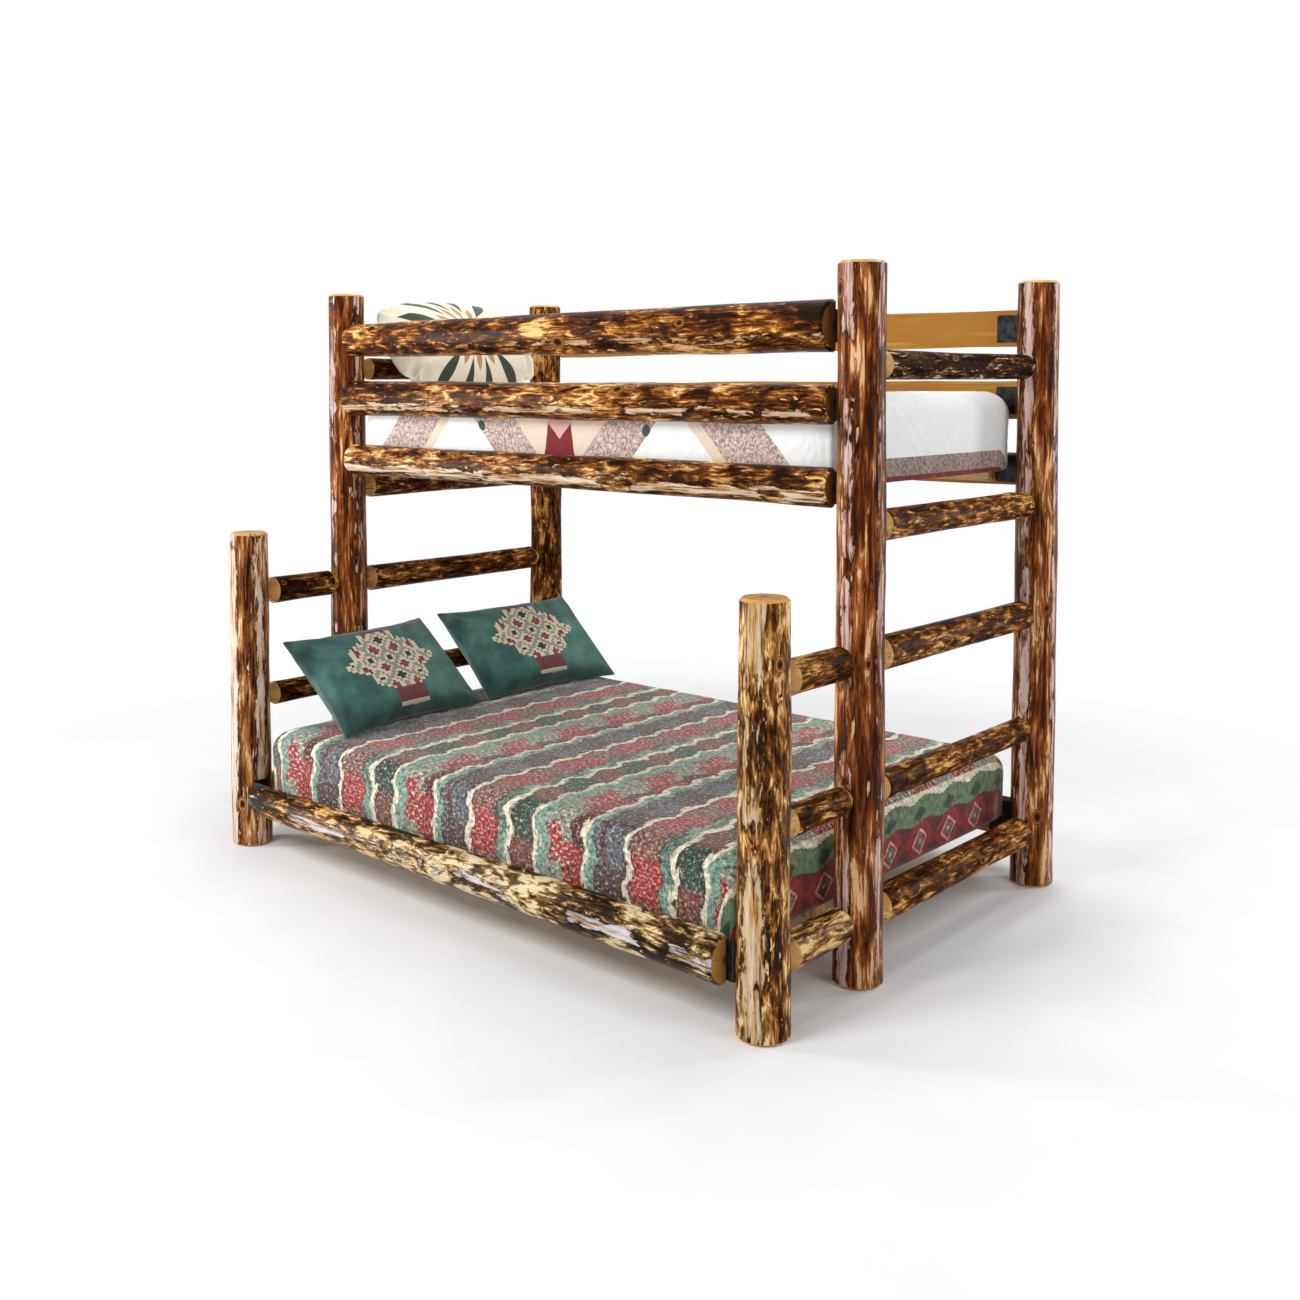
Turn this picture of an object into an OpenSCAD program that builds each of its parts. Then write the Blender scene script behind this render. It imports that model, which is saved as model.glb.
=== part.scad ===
// Rustic log bunk bed, a twin bunk over a full bed.
// Six peeled log posts carry two ladder ends of tenoned rungs. Half-log rails with sawn inner faces
// hang between the ends on bent steel brackets. Cleats, slats and a centre beam carry the mattresses.
// +X points to the foot end, -Y to the low front posts, and the origin is on the floor at mid-bed.

/* [Frame] */
// Length between the post centres, head to foot
bed_l = 2140; // [2060:10:2300]
// Width between the front and back post centres
bed_w = 1380; // [1340:10:1600]
// Distance from a front post to its middle post
step_w = 405; // [330:5:480]
// Mean diameter of a post
post_d = 126; // [112:1:140]
// How much thicker a post is at its butt than at its top
post_taper = 4; // [0:1:10]
// Height of the four tall posts
tall_h = 1850; // [1800:10:2000]
// Height of the two front posts
short_h = 1045; // [960:5:1150]
// Eased edge at the ends of posts and rails
end_ease = 7; // [2:1:12]
// Swell of the logs along their length
log_swell = 1.2; // [0:0.1:2]

/* [Rungs] */
// Height of the lowest rungs
rung_1_z = 173; // [150:1:200]
// Height of the second rungs
rung_2_z = 490; // [440:5:540]
// Height of the third rungs, the top ones on the step side
rung_3_z = 840; // [780:5:880]
// Height of the fourth ladder rungs
rung_4_z = 1175; // [1120:5:1190]
// Height of the top ladder rungs
rung_5_z = 1590; // [1570:1:1610]
// Diameter of the lowest rungs
rung_1_d = 94; // [70:1:100]
// Diameter of the second rungs
rung_2_d = 78; // [64:1:96]
// Diameter of the third rungs
rung_3_d = 90; // [64:1:96]
// Diameter of the fourth ladder rungs
rung_4_d = 84; // [64:1:96]
// Diameter of the top ladder rungs
rung_5_d = 77; // [64:1:90]
// How much a rung thins from one end to the other
rung_taper = 4; // [0:1:8]
// Diameter of the round tenons
tenon_d = 38; // [30:1:44]
// Length of a tenon in its mortise
tenon_l = 40; // [25:1:44]
// Length of the tapered shoulder behind a tenon
shoulder_l = 36; // [20:1:50]
// How deep a shoulder sinks into the post
shoulder_sink = 9; // [4:1:14]
// Clearance round a tenon and its shoulder
tenon_fit = 0.3; // [0.2:0.1:0.6]

/* [Rails] */
// Height of the lower bed's side rails
side_rail_z = 172; // [150:1:190]
// Height of the upper bed rails
bed_rail_z = 1275; // [1265:1:1300]
// Height of the middle guard rails
mid_guard_z = 1488; // [1470:1:1500]
// Height of the top guard rails
top_guard_z = 1688; // [1680:1:1720]
// How much higher the back top guard sits than the front one
back_guard_rise = 21; // [0:1:30]
// Log diameter of a side rail at the foot end
side_rail_foot_d = 124; // [110:1:140]
// Log diameter of a side rail at the head end
side_rail_head_d = 98; // [96:1:130]
// Log diameter of an upper bed rail at the foot end
bed_rail_foot_d = 102; // [96:1:120]
// Log diameter of an upper bed rail at the head end
bed_rail_head_d = 102; // [96:1:120]
// Log diameter of a middle guard at the foot end
mid_guard_foot_d = 104; // [96:1:124]
// Log diameter of a middle guard at the head end
mid_guard_head_d = 120; // [96:1:124]
// Log diameter of a top guard at the foot end
top_guard_foot_d = 138; // [100:1:144]
// Log diameter of a top guard at the head end
top_guard_head_d = 112; // [96:1:130]
// How far the sawn face of a side rail lies outside the post centres
side_flat_out = 38; // [30:1:46]
// How far the sawn face of an upper rail lies outside the post centres
upper_flat_out = 20; // [14:1:30]
// Gap between a side rail's end and its bracket
side_rail_gap = 22; // [4:1:30]
// Gap between an upper rail's end and its bracket
upper_rail_gap = 5; // [2:1:12]
// Length of the hewn taper at the head end of a side rail
hewn_l = 110; // [40:5:160]
// Diameter that the hewn taper ends at
hewn_d = 74; // [64:1:90]

/* [Brackets] */
// Thickness of the bracket steel
plate_t = 3; // [2:0.5:5]
// Inner radius of the bracket's bend
plate_bend_r = 4; // [2:0.5:6]
// Height of the brackets on the side rails
side_plate_h = 100; // [80:1:110]
// Height of the brackets on the upper rails
upper_plate_h = 84; // [70:1:94]
// How far a bracket laps onto its rail
plate_grip = 80; // [60:1:100]
// How far a bracket reaches past the post centre
plate_reach = 20; // [14:1:30]
// Depth of the flat routed in the post for a bracket
seat_depth = 5; // [4:0.5:8]
// Shank diameter of the lag screws
lag_d = 8; // [6:0.5:9]
// Length of the lag screws in the post
lag_l = 50; // [30:1:60]
// Shank diameter of the wood screws
screw_d = 5; // [4:0.5:6]
// Length of the wood screws in a rail
screw_l = 30; // [16:1:34]
// Clearance round a screw's shank
screw_fit = 0.2; // [0.1:0.05:0.4]

/* [Bed decks] */
// Height of a cleat
cleat_h = 38; // [30:1:44]
// Width of a cleat
cleat_w = 38; // [28:1:44]
// Height of the upper cleat's top over the bed rail's centre
upper_cleat_rise = -2; // [-6:1:6]
// Height of the lower cleat's top over the side rail's centre
lower_cleat_rise = 1; // [-6:1:6]
// Number of slats in each deck
slat_count = 12; // [8:1:14]
// Width of a slat
slat_w = 89; // [60:1:110]
// Thickness of a slat
slat_t = 19; // [14:1:22]
// Gap between a slat's end and the rail
slat_end_gap = 7; // [3:1:14]
// Height of the centre beam
beam_h = 89; // [60:1:110]
// Thickness of the centre beam
beam_t = 38; // [28:1:60]
// Length of a centre leg along the beam
leg_l = 89; // [60:1:120]

/* [Bedding] */
// Gap between a mattress and the posts at the foot end
mattress_foot_gap = 24; // [16:1:60]
// Gap between a mattress and the posts at the head end
mattress_head_gap = 44; // [16:1:80]
// Gap between the upper mattress and the rails beside it
upper_side_gap = 23; // [20:1:50]
// Gap between the lower mattress and the rails beside it
lower_side_gap = 42; // [22:1:80]
// Thickness of the upper mattress
upper_mattress_h = 212; // [150:1:230]
// Thickness of the lower mattress
lower_mattress_h = 196; // [150:1:230]
// Radius of a mattress's top edge
mattress_edge_r = 58; // [20:1:70]
// Radius of a mattress's corner in plan
mattress_corner_r = 82; // [74:1:110]
// Thickness of the quilt
quilt_t = 10; // [6:0.5:11]
// How far the quilt hangs below the mattress at the foot end
quilt_drop = 20; // [10:1:60]
// Thickness of the blanket
blanket_t = 8; // [5:0.5:14]
// Width of a cushion
cushion_w = 630; // [500:5:660]
// Height of a cushion
cushion_h = 430; // [360:5:480]
// Thickness of a cushion at its crown
cushion_t = 128; // [90:1:160]
// Slope of a cushion from the level
cushion_tilt = 41; // [30:1:60]
// How far each cushion is turned
cushion_turn = 4; // [0:1:8]
// Width of the pillow
pillow_w = 700; // [560:5:760]
// Height of the pillow
pillow_h = 400; // [360:5:520]
// Thickness of the pillow at its crown
pillow_t = 185; // [120:1:200]
// Slope of the pillow from the level
pillow_tilt = 55; // [35:1:65]
// How far the pillow lies from the bunk's middle, towards the front
pillow_shift = 57; // [0:1:100]
// Thickness of the sewn edge of cushions and pillow
seam_t = 4; // [2:0.5:8]
// How far the sides of cushions and pillow draw in between the corners
draw_in = 0.06; // [0:0.01:0.12]
// Gap that soft pieces keep from what they lie on
soft_gap = 0.3; // [0.2:0.1:1]
// Gap between a cushion's back and the post behind it
cushion_lean_gap = 4; // [1:0.5:12]

/* [Hidden] */

$fn = 64;
EPS = 0.01;
FOOT = 1;
HEAD = -1;
FRONT = -1;
BACK = 1;

// Post rows across the bed: 0 front, 1 middle, 2 back
FRONT_ROW = 0;
MIDDLE_ROW = 1;
BACK_ROW = 2;
ROW_Y = [-bed_w / 2, -bed_w / 2 + step_w, bed_w / 2];
bunk_y = (ROW_Y[MIDDLE_ROW] + ROW_Y[BACK_ROW]) / 2;
post_r = post_d / 2;

// Rungs by level, the lowest first; the step side has the lowest three
RUNG_Z = [rung_1_z, rung_2_z, rung_3_z, rung_4_z, rung_5_z];
RUNG_R = [rung_1_d, rung_2_d, rung_3_d, rung_4_d, rung_5_d] / 2;
STEP_LEVELS = [0, 1, 2];
LADDER_LEVELS = [0, 1, 2, 3, 4];
tenon_r = tenon_d / 2;
shoulder_at = post_r - shoulder_sink;
tenon_tip = shoulder_at - tenon_l;
mortise_room = 1;
tip_ease = 2;

// Rails by level: 0 side rail of the lower bed, 1 bed rail, 2 middle guard, 3 top guard
RAIL_Z = [side_rail_z, bed_rail_z, mid_guard_z, top_guard_z];
RAIL_FOOT_R = [side_rail_foot_d, bed_rail_foot_d, mid_guard_foot_d, top_guard_foot_d] / 2;
RAIL_HEAD_R = [side_rail_head_d, bed_rail_head_d, mid_guard_head_d, top_guard_head_d] / 2;
BACK_RISE = [0, 0, 0, back_guard_rise];
UPPER_LEVELS = [1, 2, 3];
band_l = 170;
swell_l = 620;

seat_x = post_r - seat_depth;
bend_out_r = plate_bend_r + plate_t;
lag_y = 2;
lag_head_d = 14;
lag_head_t = 5;
lag_flange_d = 18;
lag_flange_t = 1.6;
lag_tip_l = 9;
screw_head_d = 10;
screw_head_t = 2.4;
screw_tip_l = 6;
lag_pitch = 0.28;
screw_pitch = 0.17;
seat_room = 1;

cleat_end_gap = 8;
cleat_screw_count = 5;
slat_margin = 10;
LEG_SPREAD = [-0.4, 0, 0.4];

cushion_steps = 14;
touch_steps = 40;
edge_steps = 6;
corner_steps = 6;
far_away = 10000;

post_colour = [0.52, 0.27, 0.12];
short_post_colour = [0.72, 0.47, 0.22];
rung_colour = [0.47, 0.27, 0.13];
rail_colour = [0.66, 0.40, 0.18];
side_rail_colour = [0.78, 0.56, 0.30];
lumber_colour = [0.86, 0.72, 0.50];
steel_colour = [0.10, 0.10, 0.11];
quilt_colour = [0.90, 0.88, 0.86];
blanket_colour = [0.55, 0.24, 0.22];
cushion_colour = [0.20, 0.45, 0.42];
pillow_colour = [0.93, 0.89, 0.78];
ticking_colour = [0.92, 0.91, 0.88];

// Rails that meet a row of posts, the side of the bed that they close, and the row of a given rail
function rails_of(row) = row == FRONT_ROW ? [0] : row == MIDDLE_ROW ? UPPER_LEVELS : [0, 1, 2, 3];
function side_of(row) = row == BACK_ROW ? BACK : FRONT;
function row_of(level, side) = side == BACK ? BACK_ROW : level == 0 ? FRONT_ROW : MIDDLE_ROW;

// Rail geometry that follows from its level; the upper rails at the back have their butts at the other end
function rail_z(level, side) = RAIL_Z[level] + (side == BACK ? BACK_RISE[level] : 0);
function turned(level, side) = side == BACK && level > 0;
function rail_head_r(level, side) = turned(level, side) ? RAIL_FOOT_R[level] : RAIL_HEAD_R[level];
function rail_foot_r(level, side) = turned(level, side) ? RAIL_HEAD_R[level] : RAIL_FOOT_R[level];
function flat_out(level) = level == 0 ? side_flat_out : upper_flat_out;
function rail_gap(level) = level == 0 ? side_rail_gap : upper_rail_gap;
function plate_h(level) = level == 0 ? side_plate_h : upper_plate_h;
function rail_end_x(level) = bed_l / 2 - seat_x - plate_t - rail_gap(level);
function flat_y(level, side) = ROW_Y[row_of(level, side)] + side * flat_out(level);
function cleat_top(level) = RAIL_Z[level] + (level == 0 ? lower_cleat_rise : upper_cleat_rise);
function cleat_half_l(level) = rail_end_x(level) - plate_grip - cleat_end_gap;
function deck_y(level) = (flat_y(level, FRONT) + flat_y(level, BACK)) / 2;
function deck_half_w(level) = (flat_y(level, BACK) - flat_y(level, FRONT)) / 2;
function slat_top(level) = cleat_top(level) + slat_t;

// Radius of a peeled log at distance s from its lower or head end
function log_r(s, len, r0, r1, phase) = r0 + (r1 - r0) * s / len + log_swell * sin(360 * s / swell_l + phase);

// Points of a log's half outline, with eased ends and an optional hewn taper at s = 0
function log_outline(len, r0, r1, phase, hew_l, hew_r) =
    let (n = ceil(len / band_l))
    let (start = hew_l > 0 ? hew_l : end_ease)
    let (r_first = hew_l > 0 ? hew_r : log_r(end_ease, len, r0, r1, phase))
    concat(
        [[0, 0], [r_first - end_ease, 0]],
        hew_l > 0 ? [[r_first, end_ease]] : [],
        [for (i = [0:n])
            let (s = start + (len - end_ease - start) * i / n)
            [log_r(s, len, r0, r1, phase), s]],
        [[log_r(len, len, r0, r1, phase) - end_ease, len], [0, len]]
    );

module log_body(len, r0, r1, phase, hew_l = 0, hew_r = 0) {
    rotate_extrude() polygon(log_outline(len, r0, r1, phase, hew_l, hew_r));
}

// Local frame of a rail's corner: the post's axis at the rail's height, +X and +Y into the bed
module at_corner(end, row, level) {
    translate([end * bed_l / 2, ROW_Y[row], rail_z(level, side_of(row))])
        mirror([end == FOOT ? 1 : 0, 0, 0])
            mirror([0, side_of(row) == BACK ? 1 : 0, 0])
                children();
}

// Heights of the two lag screws of a bracket, from its middle
function lag_heights(level) = [-plate_h(level) * lag_pitch, plate_h(level) * lag_pitch];

// Places of the two wood screws on a bracket's rail leg: distance along the rail and height
function screw_spots(level) =
    let (x0 = bed_l / 2 - rail_end_x(level))
    [[x0 + plate_grip * 0.3, plate_h(level) * screw_pitch], [x0 + plate_grip * 0.72, -plate_h(level) * screw_pitch]];

// Blind mortise with a tapered mouth, along +Y from the post's axis
module mortise(level) {
    far_r = RUNG_R[level] + tenon_fit;
    near_r = tenon_r + tenon_fit;
    foot = tenon_tip - mortise_room;
    mouth = shoulder_at + shoulder_l;
    rotate([-90, 0, 0])
        rotate_extrude()
            polygon([[0, foot], [near_r, foot], [near_r, shoulder_at], [far_r, mouth], [0, mouth]]);
}

// Routed flat and pilot holes for one bracket, in the corner's frame
module bracket_seat(level) {
    h = plate_h(level) + 2 * seat_room;
    translate([seat_x, -post_d, -h / 2]) cube([post_d, 2 * post_d, h]);
    for (z = lag_heights(level))
        translate([seat_x - lag_l - seat_room, lag_y, z])
            rotate([0, 90, 0])
                cylinder(h = lag_l + post_r, r = lag_d / 2 + screw_fit);
}

module post(end, row) {
    h = row == FRONT_ROW ? short_h : tall_h;
    r0 = (post_d + post_taper) / 2;
    r1 = (post_d - post_taper) / 2;
    color(row == FRONT_ROW ? short_post_colour : post_colour)
        difference() {
            translate([end * bed_l / 2, ROW_Y[row], 0])
                log_body(h, r0, r1, 70 * row + 40 * end);
            translate([end * bed_l / 2, ROW_Y[row], 0]) {
                if (row != BACK_ROW)
                    for (level = row == FRONT_ROW ? STEP_LEVELS : LADDER_LEVELS)
                        translate([0, 0, RUNG_Z[level]]) mortise(level);
                if (row != FRONT_ROW)
                    for (level = row == MIDDLE_ROW ? STEP_LEVELS : LADDER_LEVELS)
                        translate([0, 0, RUNG_Z[level]]) mirror([0, 1, 0]) mortise(level);
            }
            for (level = rails_of(row))
                at_corner(end, row, level) bracket_seat(level);
        }
}

// Rung with a tapered shoulder and a round tenon at both ends, from one post row to the next
module rung(end, level, row) {
    span = ROW_Y[row + 1] - ROW_Y[row];
    r0 = RUNG_R[level];
    r1 = RUNG_R[level] - rung_taper / 2;
    body_from = shoulder_at + shoulder_l;
    body_to = span - body_from;
    n = ceil((body_to - body_from) / band_l) + 1;
    body = [for (i = [0:n])
        let (s = body_from + (body_to - body_from) * i / n)
        [r0 + (r1 - r0) * i / n - log_swell * (1 - cos(360 * i / n)) / 2, s]];
    outline = concat(
        [[0, tenon_tip], [tenon_r - tip_ease, tenon_tip], [tenon_r, tenon_tip + tip_ease], [tenon_r, shoulder_at]],
        body,
        [[tenon_r, span - shoulder_at], [tenon_r, span - tenon_tip - tip_ease]],
        [[tenon_r - tip_ease, span - tenon_tip], [0, span - tenon_tip]]
    );
    color(rung_colour)
        translate([end * bed_l / 2, ROW_Y[row], RUNG_Z[level]])
            rotate([-90, 0, 0])
                rotate_extrude() polygon(outline);
}

// Half-log rail: the log is sawn along its middle and its flat face turned into the bed
module rail(level, side) {
    x1 = rail_end_x(level);
    y = flat_y(level, side);
    z = rail_z(level, side);
    big = post_d * 2;
    color(level == 0 ? side_rail_colour : rail_colour)
        difference() {
            intersection() {
                translate([-x1, y, z])
                    rotate([0, 90, 0])
                        log_body(2 * x1, rail_head_r(level, side), rail_foot_r(level, side), 90 * level + 45 * side,
                            level == 0 ? hewn_l : 0, hewn_d / 2);
                translate([-bed_l / 2, side == BACK ? y : y - big, z - big])
                    cube([bed_l, big, 2 * big]);
            }
            for (end = [HEAD, FOOT])
                at_corner(end, row_of(level, side), level)
                    for (spot = screw_spots(level))
                        screw_hole(spot[0], -flat_out(level), spot[1]);
            if (level < 2)
                for (x = cleat_screw_xs(level))
                    translate([x, y, cleat_top(level) - cleat_h / 2])
                        mirror([0, side == BACK ? 1 : 0, 0])
                            screw_hole(0, 0, 0);
        }
}

// Pilot hole along -Y from the point where a screw enters the wood
module screw_hole(x, y, z) {
    translate([x, y, z])
        rotate([90, 0, 0])
            translate([0, 0, -seat_room])
                cylinder(h = screw_l + 2 * seat_room, r = screw_d / 2 + screw_fit);
}

// Bent steel bracket in the corner's frame, one leg on the post's flat and one on the rail's
module bracket(level) {
    out = -flat_out(level);
    leg_end = bed_l / 2 - rail_end_x(level) + plate_grip;
    h = plate_h(level);
    difference() {
        translate([0, 0, -h / 2])
            linear_extrude(h) {
                translate([seat_x, out + bend_out_r]) square([plate_t, plate_reach - out - bend_out_r]);
                translate([seat_x + bend_out_r, out]) square([leg_end - seat_x - bend_out_r, plate_t]);
                intersection() {
                    translate([seat_x + bend_out_r, out + bend_out_r])
                        difference() {
                            circle(bend_out_r);
                            circle(plate_bend_r);
                        }
                    translate([seat_x, out]) square(bend_out_r);
                }
            }
        for (z = lag_heights(level))
            translate([seat_x - plate_t, lag_y, z])
                rotate([0, 90, 0])
                    cylinder(h = 3 * plate_t, r = lag_d / 2 + screw_fit);
        for (spot = screw_spots(level))
            translate([spot[0], out + 2 * plate_t, spot[1]])
                rotate([90, 0, 0])
                    cylinder(h = 3 * plate_t, r = screw_d / 2 + screw_fit);
    }
}

module brackets(side, levels) {
    color(steel_colour)
        for (end = [HEAD, FOOT], level = levels)
            at_corner(end, row_of(level, side), level) bracket(level);
}

// Lag screw along -X: hexagon head, flange, shank and point
module lag_screw() {
    rotate([0, 90, 0]) {
        cylinder(h = lag_flange_t, d = lag_flange_d);
        translate([0, 0, lag_flange_t - EPS]) cylinder(h = lag_head_t, d = lag_head_d, $fn = 6);
        translate([0, 0, -plate_t - lag_l + lag_tip_l]) cylinder(h = plate_t + lag_l - lag_tip_l + EPS, d = lag_d);
        translate([0, 0, -plate_t - lag_l]) cylinder(h = lag_tip_l + EPS, d1 = lag_d / 4, d2 = lag_d);
    }
}

// Wood screw along -Y with a low head; grip is what it passes through before its own wood
module wood_screw(grip) {
    rotate([-90, 0, 0]) {
        cylinder(h = screw_head_t, d1 = screw_head_d, d2 = screw_head_d * 0.8);
        translate([0, 0, -grip - screw_l + screw_tip_l])
            cylinder(h = grip + screw_l - screw_tip_l + EPS, d = screw_d);
        translate([0, 0, -grip - screw_l]) cylinder(h = screw_tip_l + EPS, d1 = screw_d / 4, d2 = screw_d);
    }
}

module each_bracket() {
    for (end = [HEAD, FOOT], row = [FRONT_ROW, MIDDLE_ROW, BACK_ROW])
        for (level = rails_of(row))
            at_corner(end, row, level) {
                $level = level;
                children();
            }
}

module bracket_lag_screws() {
    color(steel_colour)
        each_bracket()
            for (z = lag_heights($level))
                translate([seat_x + plate_t, lag_y, z]) lag_screw();
}

module bracket_wood_screws() {
    color(steel_colour)
        each_bracket()
            for (spot = screw_spots($level))
                translate([spot[0], plate_t - flat_out($level), spot[1]]) wood_screw(plate_t);
}

function cleat_screw_xs(level) =
    let (reach = cleat_half_l(level) * 0.9)
    [for (i = [0:cleat_screw_count - 1]) -reach + 2 * reach * i / (cleat_screw_count - 1)];

// Frame of a cleat on the inner face of a rail, +Y into the bed
module at_cleat(level, side) {
    translate([0, flat_y(level, side), cleat_top(level)])
        mirror([0, side == BACK ? 1 : 0, 0])
            children();
}

module cleat(level, side) {
    color(lumber_colour)
        at_cleat(level, side)
            difference() {
                translate([-cleat_half_l(level), 0, -cleat_h]) cube([2 * cleat_half_l(level), cleat_w, cleat_h]);
                for (x = cleat_screw_xs(level))
                    translate([x, -seat_room, -cleat_h / 2])
                        rotate([-90, 0, 0])
                            cylinder(h = cleat_w + 2 * seat_room, r = screw_d / 2 + screw_fit);
            }
}

module cleat_screws() {
    color(steel_colour)
        for (level = [0, 1], side = [FRONT, BACK])
            at_cleat(level, side)
                for (x = cleat_screw_xs(level))
                    translate([x, cleat_w, -cleat_h / 2]) wood_screw(cleat_w);
}

module slats(level) {
    reach = cleat_half_l(level) - slat_margin - slat_w / 2;
    half_w = deck_half_w(level) - slat_end_gap;
    color(lumber_colour)
        for (i = [0:slat_count - 1])
            translate([-reach + 2 * reach * i / (slat_count - 1) - slat_w / 2, deck_y(level) - half_w, cleat_top(level)])
                cube([slat_w, 2 * half_w, slat_t]);
}

module centre_beam() {
    half_l = cleat_half_l(0);
    color(lumber_colour)
        translate([-half_l, deck_y(0) - beam_t / 2, cleat_top(0) - beam_h])
            cube([2 * half_l, beam_t, beam_h]);
}

module centre_legs() {
    color(lumber_colour)
        for (share = LEG_SPREAD)
            translate([share * 2 * cleat_half_l(0) - leg_l / 2, deck_y(0) - beam_t / 2, 0])
                cube([leg_l, beam_t, cleat_top(0) - beam_h]);
}

// Ring of a soft block: a rectangle with round corners, drawn in by inset
function block_ring(l, w, corner, inset, z) =
    let (r = corner - inset)
    [for (q = [0:3], j = [0:corner_steps])
        let (a = 90 * q + 90 * j / corner_steps)
        let (sx = q == 0 || q == 3 ? 1 : -1)
        let (sy = q < 2 ? 1 : -1)
        [sx * (l / 2 - corner) + r * cos(a), sy * (w / 2 - corner) + r * sin(a), z]];

// Closed block with rounded top edges, such as a mattress or the outside of a cover
module soft_block(l, w, z0, z1, edge, corner, foot_r = 0) {
    rises = concat(
        foot_r > 0 ? [[foot_r, z0], [0, z0 + foot_r]] : [[0, z0]],
        [for (k = [0:edge_steps])
            let (a = 90 * k / edge_steps)
            [edge * (1 - cos(a)), z1 - edge + edge * sin(a)]]
    );
    per_ring = 4 * (corner_steps + 1);
    last = len(rises) - 1;
    pts = [for (rise = rises) each block_ring(l, w, corner, rise[0], rise[1])];
    sides = [for (k = [0:last - 1], j = [0:per_ring - 1])
        let (a = k * per_ring + j)
        let (b = k * per_ring + (j + 1) % per_ring)
        each [[a, b + per_ring, b], [a, a + per_ring, b + per_ring]]];
    floor_face = [[for (j = [0:per_ring - 1]) j]];
    top_face = [[for (j = [0:per_ring - 1]) last * per_ring + per_ring - 1 - j]];
    polyhedron(points = pts, faces = concat(sides, floor_face, top_face));
}

function mattress_base(level) = slat_top(level) + soft_gap;
function mattress_w(level) = 2 * (deck_half_w(level) - (level == 0 ? lower_side_gap : upper_side_gap));
function mattress_h(level) = level == 0 ? lower_mattress_h : upper_mattress_h;
function mattress_top(level) = mattress_base(level) + mattress_h(level);
post_out_r = post_r + post_taper / 2 + log_swell;
mattress_l = bed_l - 2 * post_out_r - mattress_foot_gap - mattress_head_gap;
mattress_shift = (mattress_head_gap - mattress_foot_gap) / 2;
blanket_top = mattress_top(0) + soft_gap + blanket_t;
quilt_top = mattress_top(1) + soft_gap + quilt_t;
mattress_foot_r = 12;

module mattress(level) {
    color(ticking_colour)
        translate([mattress_shift, deck_y(level), 0])
            soft_block(mattress_l, mattress_w(level), mattress_base(level), mattress_top(level),
                mattress_edge_r, mattress_corner_r, mattress_foot_r);
}

// Cover that lies over a mattress and is tucked down its sides
module cover(level, t, bottom) {
    out = 2 * (soft_gap + t);
    room = 2 * soft_gap;
    top = mattress_top(level) + soft_gap;
    translate([mattress_shift, deck_y(level), 0])
        difference() {
            soft_block(mattress_l + out, mattress_w(level) + out, bottom, top + t,
                mattress_edge_r + soft_gap + t, mattress_corner_r + soft_gap + t);
            soft_block(mattress_l + room, mattress_w(level) + room, bottom - 1, top,
                mattress_edge_r + soft_gap, mattress_corner_r + soft_gap);
        }
}

module blanket() {
    color(blanket_colour) cover(0, blanket_t, mattress_base(0) + soft_gap);
}

module quilt() {
    bottom = mattress_base(1) + soft_gap;
    panel_w = mattress_w(1) - 2 * mattress_corner_r;
    color(quilt_colour) {
        cover(1, quilt_t, bottom);
        translate([mattress_shift + mattress_l / 2 + soft_gap, deck_y(1) - panel_w / 2, bottom - quilt_drop])
            cube([quilt_t, panel_w, quilt_drop + mattress_corner_r]);
    }
}

// Point of a stuffed cushion: u across and v up run from -1 to 1, face is 1 or -1
function cushion_point(u, v, face, size) = [
    size[0] / 2 * u * (1 - draw_in * (1 - v * v)),
    size[1] / 2 * v * (1 - draw_in * (1 - u * u)),
    face * (seam_t + (size[2] - seam_t) * sqrt(max(0, (1 - u * u) * (1 - v * v)))) / 2
];

// A cushion's point set on its slope: tilted back towards the head end and turned about +Z
function leant(p, tilt, turn) =
    let (x = p[2] * sin(tilt) - p[1] * cos(tilt))
    let (z = p[1] * sin(tilt) + p[2] * cos(tilt))
    [x * cos(turn) - p[0] * sin(turn), x * sin(turn) + p[0] * cos(turn), z];

function leant_cloud(size, tilt, turn, n) =
    [for (face = [1, -1], i = [0:n], j = [0:n])
        leant(cushion_point(sin(180 * i / n - 90), sin(180 * j / n - 90), face, size), tilt, turn)];

// Shift that lays the lowest point of a leant cushion on a level surface
function rest_shift(cloud, z) = z + soft_gap - min([for (p = cloud) p[2]]);

// Shift along X that leans it on a round bar of radius r at the head end; miss is the offset from the bar
function lean_shift(reaches, gap) = gap - bed_l / 2 - min(reaches);
function bar_reach(x, miss, r) = abs(miss) < r ? x - sqrt(r * r - miss * miss) : far_away;

module stuffed(size, tilt, turn, place) {
    n = cushion_steps;
    row = n + 1;
    layer = row * row;
    pts = [for (p = leant_cloud(size, tilt, turn, n)) p + place];
    top = [for (i = [0:n - 1], j = [0:n - 1])
        let (a = i * row + j)
        each [[a, a + 1, a + row], [a + 1, a + row + 1, a + row]]];
    under = [for (f = top) [f[0] + layer, f[2] + layer, f[1] + layer]];
    rim = concat(
        [for (i = [0:n - 1]) i * row],
        [for (j = [0:n - 1]) n * row + j],
        [for (i = [0:n - 1]) (n - i) * row + n],
        [for (j = [0:n - 1]) n - j]
    );
    m = len(rim);
    edge = [for (k = [0:m - 1])
        let (a = rim[k])
        let (b = rim[(k + 1) % m])
        each [[a, b, a + layer], [b, b + layer, a + layer]]];
    polyhedron(points = pts, faces = concat(top, under, edge));
}

CUSHION = [cushion_w, cushion_h, cushion_t];
PILLOW = [pillow_w, pillow_h, pillow_t];
back_cushion_lap = 10;
front_cushion_off = 24;

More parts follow.
